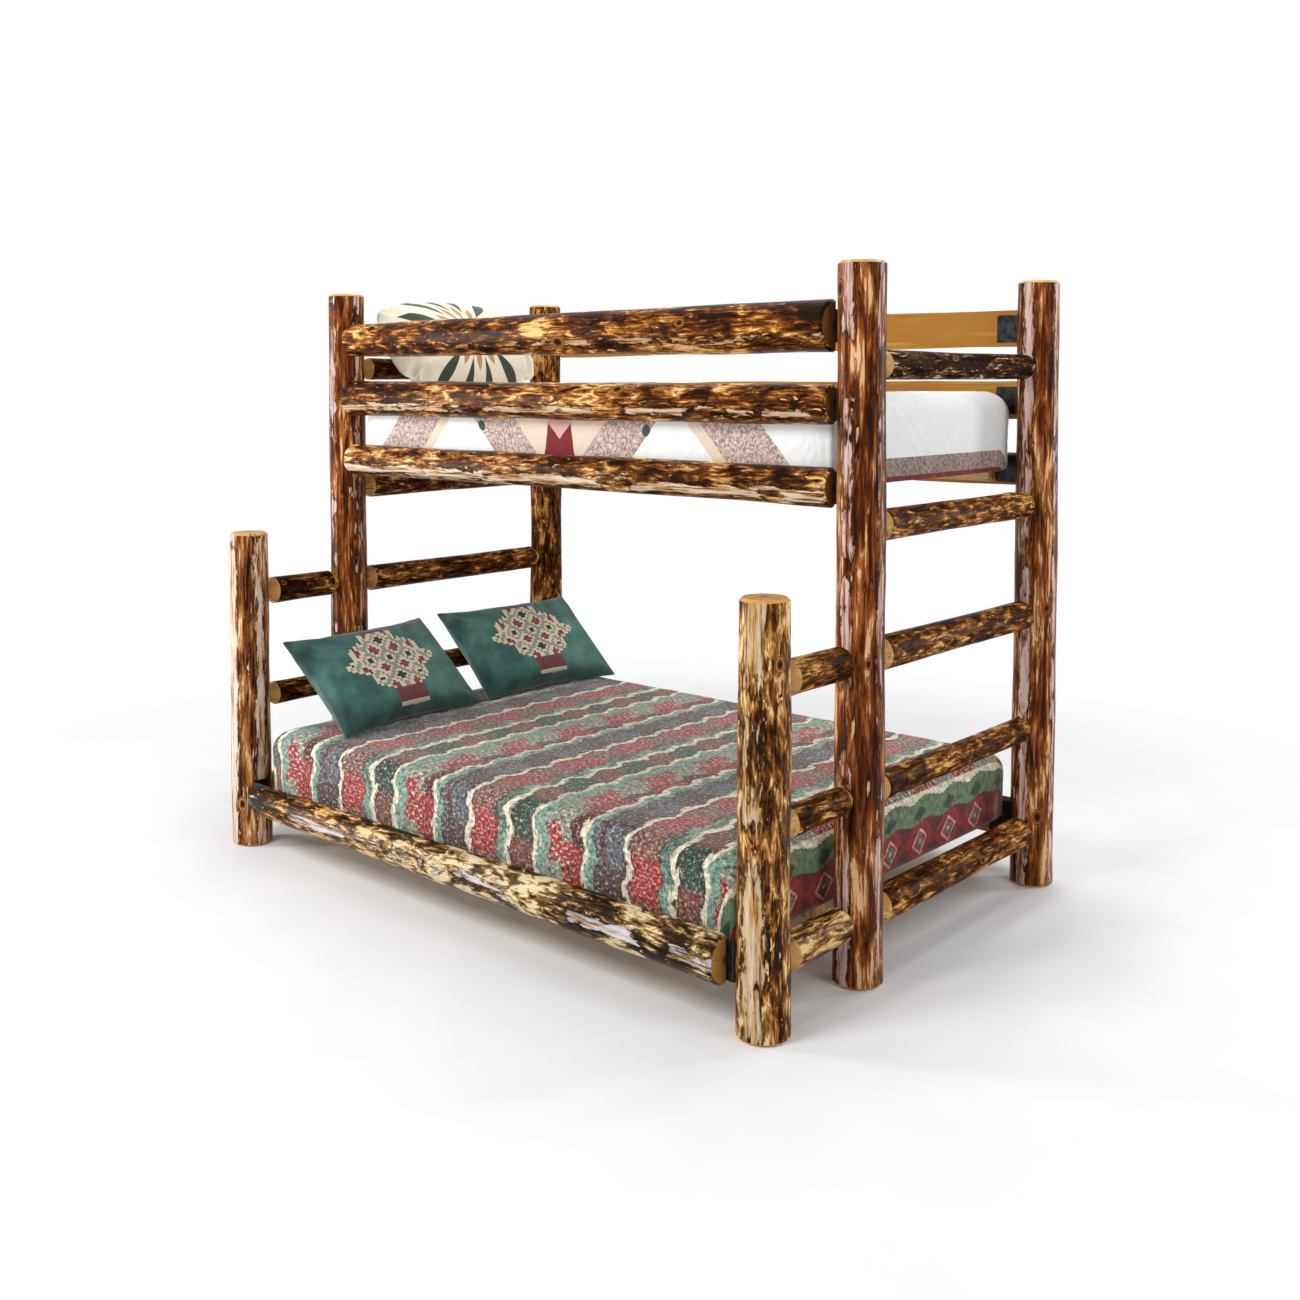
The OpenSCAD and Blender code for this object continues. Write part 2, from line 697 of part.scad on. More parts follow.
module cushion(y, post_y, turn) {
    cloud = leant_cloud(CUSHION, cushion_tilt, turn, touch_steps);
    x = lean_shift([for (p = cloud) bar_reach(p[0], p[1] + y - post_y, post_out_r)], cushion_lean_gap);
    color(cushion_colour)
        stuffed(CUSHION, cushion_tilt, turn, [x, y, rest_shift(cloud, blanket_top)]);
}

module front_cushion() {
    cushion(ROW_Y[MIDDLE_ROW] - front_cushion_off, ROW_Y[MIDDLE_ROW], cushion_turn);
}

module back_cushion() {
    cushion(ROW_Y[BACK_ROW] - cushion_w / 2 + back_cushion_lap, ROW_Y[BACK_ROW], -cushion_turn);
}

module pillow() {
    cloud = leant_cloud(PILLOW, pillow_tilt, 0, touch_steps);
    z = rest_shift(cloud, quilt_top);
    top_level = 4;
    x = lean_shift([for (p = cloud) bar_reach(p[0], p[2] + z - RUNG_Z[top_level], RUNG_R[top_level])], soft_gap);
    color(pillow_colour)
        stuffed(PILLOW, pillow_tilt, 0, [x, bunk_y - pillow_shift, z]);
}

post(FOOT, FRONT_ROW);  // front_post_foot
post(FOOT, MIDDLE_ROW);  // middle_post_foot
post(FOOT, BACK_ROW);  // back_post_foot
post(HEAD, FRONT_ROW);  // front_post_head
post(HEAD, MIDDLE_ROW);  // middle_post_head
post(HEAD, BACK_ROW);  // back_post_head
rung(FOOT, 0, FRONT_ROW);  // foot_step_rung_1
rung(FOOT, 1, FRONT_ROW);  // foot_step_rung_2
rung(FOOT, 2, FRONT_ROW);  // foot_step_rung_3
rung(FOOT, 0, MIDDLE_ROW);  // foot_ladder_rung_1
rung(FOOT, 1, MIDDLE_ROW);  // foot_ladder_rung_2
rung(FOOT, 2, MIDDLE_ROW);  // foot_ladder_rung_3
rung(FOOT, 3, MIDDLE_ROW);  // foot_ladder_rung_4
rung(FOOT, 4, MIDDLE_ROW);  // foot_ladder_rung_5
rung(HEAD, 0, FRONT_ROW);  // head_step_rung_1
rung(HEAD, 1, FRONT_ROW);  // head_step_rung_2
rung(HEAD, 2, FRONT_ROW);  // head_step_rung_3
rung(HEAD, 0, MIDDLE_ROW);  // head_ladder_rung_1
rung(HEAD, 1, MIDDLE_ROW);  // head_ladder_rung_2
rung(HEAD, 2, MIDDLE_ROW);  // head_ladder_rung_3
rung(HEAD, 3, MIDDLE_ROW);  // head_ladder_rung_4
rung(HEAD, 4, MIDDLE_ROW);  // head_ladder_rung_5
rail(0, FRONT);  // front_side_rail
rail(1, FRONT);  // front_bed_rail
rail(2, FRONT);  // front_mid_guard
rail(3, FRONT);  // front_top_guard
rail(0, BACK);  // back_side_rail
rail(1, BACK);  // back_bed_rail
rail(2, BACK);  // back_mid_guard
rail(3, BACK);  // back_top_guard
brackets(FRONT, [0]);  // front_side_brackets
brackets(FRONT, UPPER_LEVELS);  // front_upper_brackets
brackets(BACK, [0]);  // back_side_brackets
brackets(BACK, UPPER_LEVELS);  // back_upper_brackets
bracket_lag_screws();
bracket_wood_screws();
cleat_screws();
cleat(0, FRONT);  // front_lower_cleat
cleat(0, BACK);  // back_lower_cleat
cleat(1, FRONT);  // front_upper_cleat
cleat(1, BACK);  // back_upper_cleat
slats(0);  // lower_slats
slats(1);  // upper_slats
centre_beam();
centre_legs();
mattress(0);  // lower_mattress
blanket();
front_cushion();
back_cushion();
mattress(1);  // upper_mattress
quilt();
pillow();
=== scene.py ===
"""Looks of a rustic log bunk bed: peeled and lacquered logs, steel brackets, decks and bedding."""
import itertools
import logging
import math
from dataclasses import dataclass, replace
from enum import Enum
from statistics import NormalDist
from typing import Sequence

import bpy
import numpy as np
from mathutils import Matrix, Vector


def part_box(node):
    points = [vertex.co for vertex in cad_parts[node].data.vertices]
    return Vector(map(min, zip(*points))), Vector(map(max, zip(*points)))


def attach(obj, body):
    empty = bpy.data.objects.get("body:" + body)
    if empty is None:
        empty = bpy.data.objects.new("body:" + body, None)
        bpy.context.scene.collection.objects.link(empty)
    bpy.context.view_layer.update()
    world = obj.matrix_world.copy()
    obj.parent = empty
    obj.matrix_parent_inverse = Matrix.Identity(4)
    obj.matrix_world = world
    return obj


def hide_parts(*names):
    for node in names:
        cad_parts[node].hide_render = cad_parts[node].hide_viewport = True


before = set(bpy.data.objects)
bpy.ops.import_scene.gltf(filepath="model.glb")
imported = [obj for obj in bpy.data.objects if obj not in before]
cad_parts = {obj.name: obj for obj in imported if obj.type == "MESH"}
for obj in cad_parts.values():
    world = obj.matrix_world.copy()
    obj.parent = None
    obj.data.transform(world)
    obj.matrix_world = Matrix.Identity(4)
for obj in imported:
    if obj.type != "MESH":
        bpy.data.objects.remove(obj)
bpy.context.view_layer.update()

REPORT = logging.getLogger("bunk_bed")
MM = 0.001
# Two places closer than this are one.
HAIR = 0.1 * MM
Colour = tuple[int, int, int]
Triple = tuple[float, float, float]

# Constants of the lattice noise: one prime per direction, one for the seed, one to mix, and the bits kept.
LATTICE_PRIMES = (73856093, 19349663, 83492791)
SEED_PRIME = 29712151
MIX_PRIME = 1274126177
NOISE_TOP = 0xFFFF
# How the numbers of a cloudy shader noise are spread.
CLOUDY = NormalDist(0.5, 0.105)


class Axis(Enum):
    """Direction that a log runs in."""

    X = 0
    Y = 1
    Z = 2

    def turn(self) -> Matrix:
        """Rotation that lays local +Z along this axis.

        Returns:
            The rotation, as a 4 x 4 matrix.
        """
        quarter = math.radians(90)
        angle, about = {Axis.X: (quarter, "Y"), Axis.Y: (-quarter, "X"), Axis.Z: (0.0, "Z")}[self]
        return Matrix.Rotation(angle, 4, about)


class Section(Enum):
    """Cross-section of a log: whole, or a half whose round side faces local -Y or +Y."""

    WHOLE = 0
    HALF_FRONT = -1
    HALF_BACK = 1


class LogFace(Enum):
    """Material slots of a log."""

    SKIN = 0
    END = 1
    SAWN = 2
    BARE = 3


def value_noise(points: np.ndarray, size: float, seed: int) -> np.ndarray:
    """Smooth noise from -1 to 1.

    Args:
        points: Places to read it at, one row each.
        size: Width of its blobs.
        seed: Which pattern.

    Returns:
        One number per place.
    """
    cells = points / size
    low = np.floor(cells).astype(np.int64)
    share = cells - low
    share = share * share * (3 - 2 * share)
    total = np.zeros(len(points))
    for corner in itertools.product((0, 1), repeat=3):
        mixed = np.bitwise_xor.reduce((low + np.array(corner)) * LATTICE_PRIMES, axis=1) ^ (seed * SEED_PRIME)
        mixed = (mixed ^ (mixed >> 13)) * MIX_PRIME
        mixed = (mixed ^ (mixed >> 16)) & NOISE_TOP
        total += np.prod(np.where(corner, share, 1 - share), axis=1) * (mixed / (NOISE_TOP / 2) - 1)
    return total


def rough_noise(points: np.ndarray, size: float, seed: int, octaves: int = 3) -> np.ndarray:
    """Noise with finer and fainter octaves on top of each other.

    Args:
        points: Places to read it at, one row each.
        size: Width of the largest blobs.
        seed: Which pattern.
        octaves: How many layers.

    Returns:
        One number per place, from about -1 to 1.
    """
    layers = [value_noise(points, size / 2**k, seed + 17 * k) / 2**k for k in range(octaves)]
    return sum(layers) / sum(1 / 2**k for k in range(octaves))


def grid_faces(rows: int, cols: int, closed: bool = False) -> np.ndarray:
    """Quads of a grid of points.

    Args:
        rows: Number of rows.
        cols: Points in each row.
        closed: Whether each row joins up with its own start.

    Returns:
        Four point numbers per quad.
    """
    r, c = np.meshgrid(np.arange(rows - 1), np.arange(cols if closed else cols - 1), indexing="ij")
    a = r * cols + c
    b = r * cols + (c + 1) % cols
    return np.stack([a, b, b + cols, a + cols], -1).reshape(-1, 4)


def grid_normals(points: np.ndarray) -> np.ndarray:
    """Unit normals of a surface given as rows by columns by 3, in the same shape."""
    normal = np.cross(np.gradient(points, axis=0), np.gradient(points, axis=1))
    return normal / np.maximum(np.linalg.norm(normal, axis=2, keepdims=True), 1e-9)


def node_box(node: str) -> tuple[np.ndarray, np.ndarray]:
    """Lowest and highest corner of a CAD node at rest."""
    low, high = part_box(node)
    return np.array(low), np.array(high)


def cut(share: float) -> float:
    """Value that this share of a cloudy noise lies above."""
    return CLOUDY.inv_cdf(1 - share)


def linear(colour: Colour) -> tuple[float, float, float, float]:
    """A colour as the eye sees it, 0 to 255, turned into the renderer's linear light."""
    return (*(((c / 255 + 0.055) / 1.055) ** 2.4 if c > 10 else c / 3294.6 for c in colour), 1.0)


class Piece:
    """A mesh of the object, from points and faces to its place in the table."""

    def __init__(self, name: str, points: np.ndarray, faces: Sequence, place: Matrix | None = None) -> None:
        """Makes the mesh.

        Args:
            name: Name of the piece.
            points: One row per point, in the piece's own frame.
            faces: Point numbers of each face.
            place: Where the piece's own frame lies.
        """
        mesh = bpy.data.meshes.new(name)
        mesh.from_pydata(np.asarray(points).tolist(), [], [list(map(int, f)) for f in faces])
        mesh.shade_smooth()
        self.obj = bpy.data.objects.new(name, mesh)
        bpy.context.scene.collection.objects.link(self.obj)
        if place is not None:
            self.obj.matrix_world = place

    def dress(self, materials: Sequence[bpy.types.Material], faces: np.ndarray | None = None) -> "Piece":
        """Gives the piece its materials, and each face the number of its own.

        Args:
            materials: The materials, in the order of the slots.
            faces: Slot of each face, where there is more than one.

        Returns:
            The piece itself.
        """
        for material in materials:
            self.obj.data.materials.append(material)
        if faces is not None:
            self.obj.data.polygons.foreach_set("material_index", faces.astype(np.int32))
        return self

    def mark(self, name: str, values: np.ndarray) -> "Piece":
        """Stores a number or a vector at each point, for the material to read.

        Args:
            name: What the material asks for.
            values: One number or one vector per point.

        Returns:
            The piece itself.
        """
        kind, key = ("FLOAT", "value") if values.ndim == 1 else ("FLOAT_VECTOR", "vector")
        layer = self.obj.data.attributes.new(name, kind, "POINT")
        layer.data.foreach_set(key, values.astype(np.float32).ravel())
        return self

    def crease(self, degrees: float) -> "Piece":
        """Keeps edges sharper than this angle sharp."""
        self.obj.data.set_sharp_from_angle(angle=math.radians(degrees))
        return self

    def join_frame(self, body: str, slot: str, *nodes: str) -> "Piece":
        """Rides on a body and stands for CAD nodes.

        Args:
            body: Body that it moves with.
            slot: Material slot of the record; not used.
            nodes: CAD nodes that it stands for.

        Returns:
            The piece itself.
        """
        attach(self.obj, body)
        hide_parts(*nodes)
        REPORT.info("%s: %d points, on %s", self.obj.name, len(self.obj.data.vertices), body)
        return self


class CadShape:
    """Measures one CAD node."""

    def __init__(self, node: str) -> None:
        """Reads the node's points.

        Args:
            node: Name of the node.
        """
        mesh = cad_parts[node].data
        flat = np.zeros(len(mesh.vertices) * 3, np.float32)
        mesh.vertices.foreach_get("co", flat)
        self.points = flat.reshape(-1, 3).astype(float)
        self.low, self.high = self.points.min(0), self.points.max(0)

    def profile(self, axis: Axis, centre: np.ndarray, section: Section) -> tuple[np.ndarray, np.ndarray]:
        """Radius of a turned solid along its axis.

        Args:
            axis: Direction of the axis.
            centre: A point on the axis.
            section: Whether the solid is whole or half; a ring counts if its points go well round.

        Returns:
            Places of its rings from its low end, and their radii.
        """
        along = self.points[:, axis.value] - self.low[axis.value]
        across = np.delete(self.points - centre, axis.value, axis=1)
        radius = np.hypot(across[:, 0], across[:, 1])
        eighth = (np.arctan2(across[:, 1], across[:, 0]) // (math.pi / 4)).astype(int)
        enough = 6 if section is Section.WHOLE else 3
        rings = []
        for place in np.unique(np.round(along, 4)):
            level = np.abs(along - place) < HAIR
            widest = level & (radius > radius[level].max() - 2 * HAIR)
            if len(np.unique(eighth[widest])) >= enough:
                rings.append((place, radius[level].max()))
        places, radii = zip(*rings)
        return np.array(places), np.array(radii)

    def own_axes(self) -> Matrix:
        """Frame of a stuffed piece: +X along its width, +Y up its slope and +Z out of its face.

        Returns:
            The frame's place, as a 4 x 4 matrix.
        """
        points = np.unique(np.round(self.points, 6), axis=0)
        centre = points.mean(0)
        _, vectors = np.linalg.eigh(np.cov((points - centre).T))
        face, up = (Vector(v) * (1 if v[2] > 0 else -1) for v in (vectors[:, 0], vectors[:, 1]))
        turned = Matrix((up.cross(face), up, face)).transposed().to_4x4()
        return Matrix.Translation(Vector(centre)) @ turned


class Field:
    """A number, vector or colour that varies over a surface: an output of a node graph."""

    def __init__(self, graph: "Graph", socket: bpy.types.NodeSocket) -> None:
        """Holds the output."""
        self.graph, self.socket = graph, socket

    def math(self, operation: str, other: "Field | float" = 0.0) -> "Field":
        """One sum, named as the renderer names it."""
        return self.graph.read("Math", {0: self, 1: other}, operation=operation)

    def __add__(self, other: "Field | float") -> "Field":
        """The sum."""
        return self.math("ADD", other)

    def __sub__(self, other: "Field | float") -> "Field":
        """The difference."""
        return self.math("SUBTRACT", other)

    def __rsub__(self, other: float) -> "Field":
        """A number less this."""
        return self.graph.read("Math", {0: other, 1: self}, operation="SUBTRACT")

    def __mul__(self, other: "Field | float") -> "Field":
        """The product."""
        return self.math("MULTIPLY", other)

    def __truediv__(self, other: "Field | float") -> "Field":
        """The quotient."""
        return self.math("DIVIDE", other)

    def __lt__(self, other: "Field | float") -> "Field":
        """1 where this is the lower, 0 elsewhere."""
        return self.math("LESS_THAN", other)

    def __gt__(self, other: "Field | float") -> "Field":
        """1 where this is the greater, 0 elsewhere."""
        return self.math("GREATER_THAN", other)

    def __abs__(self) -> "Field":
        """The number without its sign."""
        return self.math("ABSOLUTE")

    def fold(self, length: float) -> "Field":
        """The number running up to a length and back to 0 by turns."""
        return self.math("PINGPONG", length)

    def woven(self, cell: float) -> "Field":
        """A place rounded down to the weave's cells, so that slanted edges come out as steps."""
        return (self / cell).math("FLOOR") * cell

    def between(self, low: float, high: float) -> "Field":
        """1 between low and high, 0 elsewhere."""
        return (self > low) * (self < high)

    def step(self, low: float, high: float) -> "Field":
        """Numbers that rise from 0 at low to 1 at high, or fall where high is the lower."""
        inputs = {"Value": self, "From Min": low, "From Max": high}
        return self.graph.read("MapRange", inputs, interpolation_type="SMOOTHSTEP")

    def near(self, centre: float, width: float) -> "Field":
        """1 where the value is the centre, falling to 0 at a width from it."""
        return abs(self - centre).step(width, 0.0)

    def split(self) -> "tuple[Field, Field, Field]":
        """The three parts of a vector."""
        parts = self.graph.add("SeparateXYZ", {0: self}).outputs
        return tuple(Field(self.graph, parts[k]) for k in range(3))

    def mapped(self, stretch: Triple, moved: Triple = (0, 0, 0), turned: float = 0.0) -> "Field":
        """This place scaled and moved, or turned about Z."""
        inputs = {"Vector": self, "Scale": stretch, "Location": moved, "Rotation": (0.0, 0.0, turned)}
        return self.graph.read("Mapping", inputs)

    def noise(self, scale: float, detail: float = 2.0, rough: float = 0.5, warp: float = 0.0) -> "Field":
        """Cloudy numbers round 0.5, read at this place.

        Args:
            scale: Blobs per metre.
            detail: Number of finer layers.
            rough: Strength of the finer layers.
            warp: How far the blobs are pulled out of shape.

        Returns:
            The numbers.
        """
        inputs = {"Vector": self, "Scale": scale, "Detail": detail, "Roughness": rough, "Distortion": warp}
        return self.graph.read("TexNoise", inputs)

    def ramp(self, *stops: tuple[float, Colour], hard: bool = False) -> "Field":
        """Colours along this number.

        Args:
            stops: Place from 0 to 1 and colour of each stop.
            hard: Whether each colour lasts until the next one.

        Returns:
            The colour.
        """
        node = self.graph.add("ValToRGB", {0: self})
        band = node.color_ramp
        band.interpolation = "CONSTANT" if hard else "LINEAR"
        while len(band.elements) < len(stops):
            band.elements.new(1.0)
        for element, (place, colour) in zip(band.elements, stops):
            element.position = place
            element.color = linear(colour)
        return Field(self.graph, node.outputs[0])

    def blend(self, share: "Field | float", other: "Field | Colour", how: str = "MIX") -> "Field":
        """This colour going over into another."""
        return self.graph.blend(share, self, other, how)

    def shade(self, value: "Field", low: float, high: float) -> "Field":
        """This colour made darker and lighter by a value from 0 to 1."""
        grey = self.graph.read("MapRange", {"Value": value, "To Min": low, "To Max": high})
        return self.blend(1.0, self.graph.joined(grey, grey, grey), "MULTIPLY")


def most(*fields: Field) -> Field:
    """The greatest of several numbers, taken in pairs.

    Args:
        fields: The numbers.

    Returns:
        The greatest at each place.
    """
    waiting = list(fields)
    while len(waiting) > 1:
        waiting.append(waiting.pop(0).math("MAXIMUM", waiting.pop(0)))
    return waiting[0]


class Graph:
    """A node graph, written as short calls."""

    def __init__(self, tree: bpy.types.NodeTree) -> None:
        """Works on a tree of nodes."""
        self.tree = tree

    def add(self, kind: str, inputs: dict, **settings: object) -> bpy.types.Node:
        """Adds a node.

        Args:
            kind: Blender's name of the node, without its common start.
            inputs: Value or field for each input, by name or number.
            settings: Properties of the node.

        Returns:
            The node.
        """
        node = self.tree.nodes.new("ShaderNode" + kind)
        for key, value in settings.items():
            setattr(node, key, value)
        for key, value in inputs.items():
            if isinstance(value, Field):
                self.tree.links.new(value.socket, node.inputs[key])
            else:
                node.inputs[key].default_value = value
        return node

    def read(self, kind: str, inputs: dict, output: int | str = 0, **settings: object) -> Field:
        """Adds a node and gives one of its outputs."""
        return Field(self, self.add(kind, inputs, **settings).outputs[output])

    def seen(self) -> Field:
        """1 for what shows to the camera straight, in gloss and through glass."""
        path = self.add("LightPath", {}).outputs
        return most(*(Field(self, path[f"Is {ray} Ray"]) for ray in ("Camera", "Glossy", "Transmission")))

    def joined(self, x: Field | float, y: Field | float, z: Field | float) -> Field:
        """A vector from its three parts."""
        return self.read("CombineXYZ", {0: x, 1: y, 2: z})

    def distance(self, x: Field, y: Field) -> Field:
        """Distance from the origin of a plane."""
        return (x * x + y * y).math("SQRT")

    def blend(self, share: Field | float, a: Field | Colour, b: Field | Colour, how: str = "MIX") -> Field:
        """Colour a going over into colour b."""
        ends = [c if isinstance(c, Field) else linear(c) for c in (a, b)]
        return self.read("Mix", {0: share, 6: ends[0], 7: ends[1]}, 2, data_type="RGBA", blend_type=how)


class ShaderSheet(Graph):
    """The graph of one material."""

    def __init__(self, name: str) -> None:
        """Starts a material with a bare principled shader.

        Args:
            name: Name of the material.
        """
        self.material = bpy.data.materials.new(name)
        self.material.use_nodes = True
        super().__init__(self.material.node_tree)
        self.shader = self.tree.nodes["Principled BSDF"]

    def local(self, offset: float = 0.0, stretch: Triple = (1, 1, 1)) -> Field:
        """The piece's own coordinates, moved by an offset and scaled."""
        return self.read("TexCoord", {}, "Object").mapped(stretch, (offset, offset * 0.7, offset * 1.3))

    def grain(self, offset: float, stretch: Triple, *noise: float) -> Field:
        """Noise over the piece's own coordinates, moved by an offset and scaled."""
        return self.local(offset, stretch).noise(*noise)

    def stored(self, name: str, part: str = "Vector") -> Field:
        """A vector, or with part "Fac" a number, that the piece stores at its points."""
        return self.read("Attribute", {}, part, attribute_name=name)

    def wire(self, **fields: Field) -> None:
        """Wires the shader's sockets, named with spaces as underscores."""
        for key, field in fields.items():
            self.tree.links.new(field.socket, self.shader.inputs[key.replace("_", " ")])

    def bump(self, height: Field, depth: float, under: Field | None = None) -> Field:
        """A bump, from a height of 0 to 1 and its real depth in millimetres, on top of another."""
        inputs = {"Height": height, "Distance": depth * MM, "Strength": 1.0}
        return self.read("Bump", inputs if under is None else inputs | {"Normal": under})

    def relief(self, *heights: tuple[Field, float]) -> None:
        """Bumps, each a height from 0 to 1 and its real depth in millimetres.

        Args:
            heights: The bumps, the lowest layer first.
        """
        normal = None
        for height, depth in heights:
            normal = self.bump(height, depth, normal)
        self.wire(Normal=normal)

    def finish(self, colour: Field, roughness: Field, **constants: object) -> bpy.types.Material:
        """Wires colour and roughness, and sets what is the same all over.

        Args:
            colour: Base colour.
            roughness: Roughness.
            constants: Other sockets by name, with spaces as underscores.

        Returns:
            The material.
        """
        self.wire(Base_Color=colour, Roughness=roughness)
        for key, value in constants.items():
            self.shader.inputs[key.replace("_", " ")].default_value = value
        return self.material


# What every lacquered wood has the same all over.
LACQUER = {"Coat_Roughness": 0.12, "IOR": 1.22, "Specular_Tint": linear((255, 206, 150))}
GOLDEN: Colour = (255, 206, 122)


@dataclass(frozen=True)
class PeeledSkin:
    """Lacquered log skin: char, inner bark and wood as ragged layers, cream cuts and long pale strips, partly peeled
    wood and partly a painted highlight.
    """

    name: str
    char: Colour
    bark: Colour
    wood: Colour
    honey: Colour
    cream: Colour
    shares: tuple[float, float, float, float]
    scale: float
    streak: float
    cuts: float
    # Colour of the pale strips: partly peeled wood, partly a painted highlight.
    pale: Colour
    strip: float
    narrower: float
    stripped: float = 0.6
    zones: float = 0.4
    golden_end: float = 0.0
    gloss: float = 0.1
    shine: float = 0.3
    blur: float = 0.012
    strip_end: float = 0.14
    raggedness: float = 0.06
    strip_edge: float = 2 * MM
    knot_rings: float = 26.0

    def layers(self, depth: Field) -> Field:
        """Colour of the layer that a depth lies in, from the charred outside to the cream inside.

        Args:
            depth: Cloudy number that says how deep a place was peeled.

        Returns:
            The colour.
        """
        tones = (self.char, self.bark, self.wood, self.honey, self.cream)
        stops = [(0.0, tones[0])]
        for passed, before, after in zip(itertools.accumulate(self.shares), tones, tones[1:]):
            edge = cut(1 - passed)
            stops += [(edge - self.blur, before), (edge + self.blur, after)]
        return depth.ramp(*stops)

    def outside_strips(self, sheet: ShaderSheet, shift: float, turn: float) -> Field:
        """How far a place lies outside the long pale strips, partly peeled wood and partly a painted highlight, whose
        ragged edges come and go.

        Args:
            sheet: The graph.
            shift: Offset of this log's pattern.
            turn: Direction of the log's lit side, which the wider strips face as a painted highlight, about local Z;
                the narrower ones lie between them.

        Returns:
            Metres, negative inside a strip.
        """
        ahead, aside, _ = sheet.local().mapped((1, 1, 1), turned=-turn).split()
        near = abs(aside).math("MINIMUM", abs(ahead) + self.narrower)
        ragged = sheet.grain(shift + 4.4, (1, 1, 0.2), 52, 5, 0.7, 0.6)
        along = sheet.grain(shift + 6.6, (0.6, 0.6, 1), 4.0, 3, 0.6)
        absent = (cut(self.stripped) - along) * self.strip_end
        return most(near - self.strip, absent) - (ragged - 0.5) * self.raggedness

    def material(self, seed: int, turn: float) -> bpy.types.Material:
        """The skin of one log.

        Args:
            seed: Which stretch of the pattern this log has.
            turn: Direction of the log's lit side, which its wider pale strips face as a painted highlight.

        Returns:
            The material.
        """
        sheet = ShaderSheet(f"{self.name}_{seed}")
        shift = 3.7 * seed
        patch = sheet.grain(shift, (1, 1, self.streak), self.scale, 5, 0.62, 0.7)
        strand = sheet.grain(shift + 1.1, (1, 1, self.streak * 0.3), self.scale * 3.4, 3, 0.6, 0.4)
        zone = sheet.grain(shift + 5.3, (1, 1, 0.6), 7, 2, 0.5)
        fibre = sheet.grain(shift + 8.9, (1, 1, 0.04), 260, 3, 0.6)
        depth = patch + (strand - 0.5) * 0.5 + (zone - 0.5) * self.zones
        colour = self.layers(depth).shade(fibre, 0.66, 1.32)

        fleck = sheet.grain(shift + 2.9, (1, 1, self.streak * 0.8), self.scale * 1.5, 3, 0.6, 0.6)
        edge = cut(self.cuts)
        bare = fleck.step(edge, edge + 0.03)
        colour = colour.blend(fleck.near(edge, 0.022) * 0.6, self.char)
        colour = colour.blend(bare, fleck.ramp((edge, self.honey), (edge + 0.05, self.cream)))
        if self.golden_end > 0:
            end = sheet.local().split()[2].step(self.golden_end, 0.2)
            colour = colour.blend(end * 0.8, colour.blend(1.0, GOLDEN, "MULTIPLY"))

        # Pale strips on the lit side: partly peeled wood, partly a painted highlight; glint is their brightest painted
        # highlight tone.
        outside = self.outside_strips(sheet, shift, turn)
        peeled = outside.step(self.strip_edge, -self.strip_edge)
        colour = colour.blend(outside.near(0.003, 0.006) * 0.8, self.char)
        strip_highlight_colour = sheet.grain(shift + 7.7, (1, 1, 0.07), 95, 5, 0.7)
        glint = tuple(min(255, c + 26) for c in self.pale)
        strip_highlight_colour = strip_highlight_colour.ramp((0.38, self.bark), (0.44, self.honey), (0.52, self.pale), (0.68, glint))
        colour = colour.blend(peeled * 0.88, strip_highlight_colour)

        knot = sheet.stored("knot", "Fac")
        rings = (knot * self.knot_rings).math("SINE")
        knot_wood = (rings * 0.25 + 0.4).ramp((0.2, self.bark), (0.6, self.honey))
        colour = colour.blend(knot.step(0.85, 0.6), knot_wood)
        colour = colour.blend(knot.step(0.42, 0.28), self.char)

        bark_edge = cut(1 - self.shares[0] - self.shares[1])
        bark_left = depth.step(bark_edge + 0.01, bark_edge - 0.01)
        sheet.relief((bark_left, 0.8), (bare, -0.6), (peeled, -0.7), (fibre, 0.25), (patch, 1.0))
        sheet.wire(Coat_Normal=sheet.bump(patch, 0.8))
        return sheet.finish(colour, fibre * 0.3 + 0.2, Coat_Weight=self.gloss, Coat_IOR=1.42,
                            Specular_IOR_Level=self.shine, **LACQUER)


@dataclass(frozen=True)
class BareWood:
    """Cut wood under lacquer, with straight grain along local Z."""

    name: str
    pale: Colour
    mid: Colour
    dark: Colour
    gloss: float = 0.25
    lines: float = 70.0

    def material(self, seed: int) -> bpy.types.Material:
        """The wood of one log, whose seed says which stretch of the pattern it has.

        Args:
            seed: Number of the log.

        Returns:
            The material.
        """
        sheet = ShaderSheet(f"{self.name}_{seed}")
        grain = sheet.grain(2.3 * seed, (1, 1, 0.035), self.lines, 4, 0.6, 0.4)
        broad = sheet.grain(1.9 * seed, (1, 1, 0.12), 14, 2, 0.5, 0.5)
        fine = sheet.grain(seed, (1, 1, 0.02), 420, 2, 0.5)
        colour = grain.ramp((0.36, self.dark), (0.47, self.mid), (0.60, self.pale))
        colour = colour.blend(broad.step(0.62, 0.48), self.mid).shade(fine, 0.78, 1.15)
        sheet.relief((grain, 0.3), (fine, 0.12))
        return sheet.finish(colour, fine.step(-0.6, 1.9), Coat_Weight=self.gloss, **LACQUER)


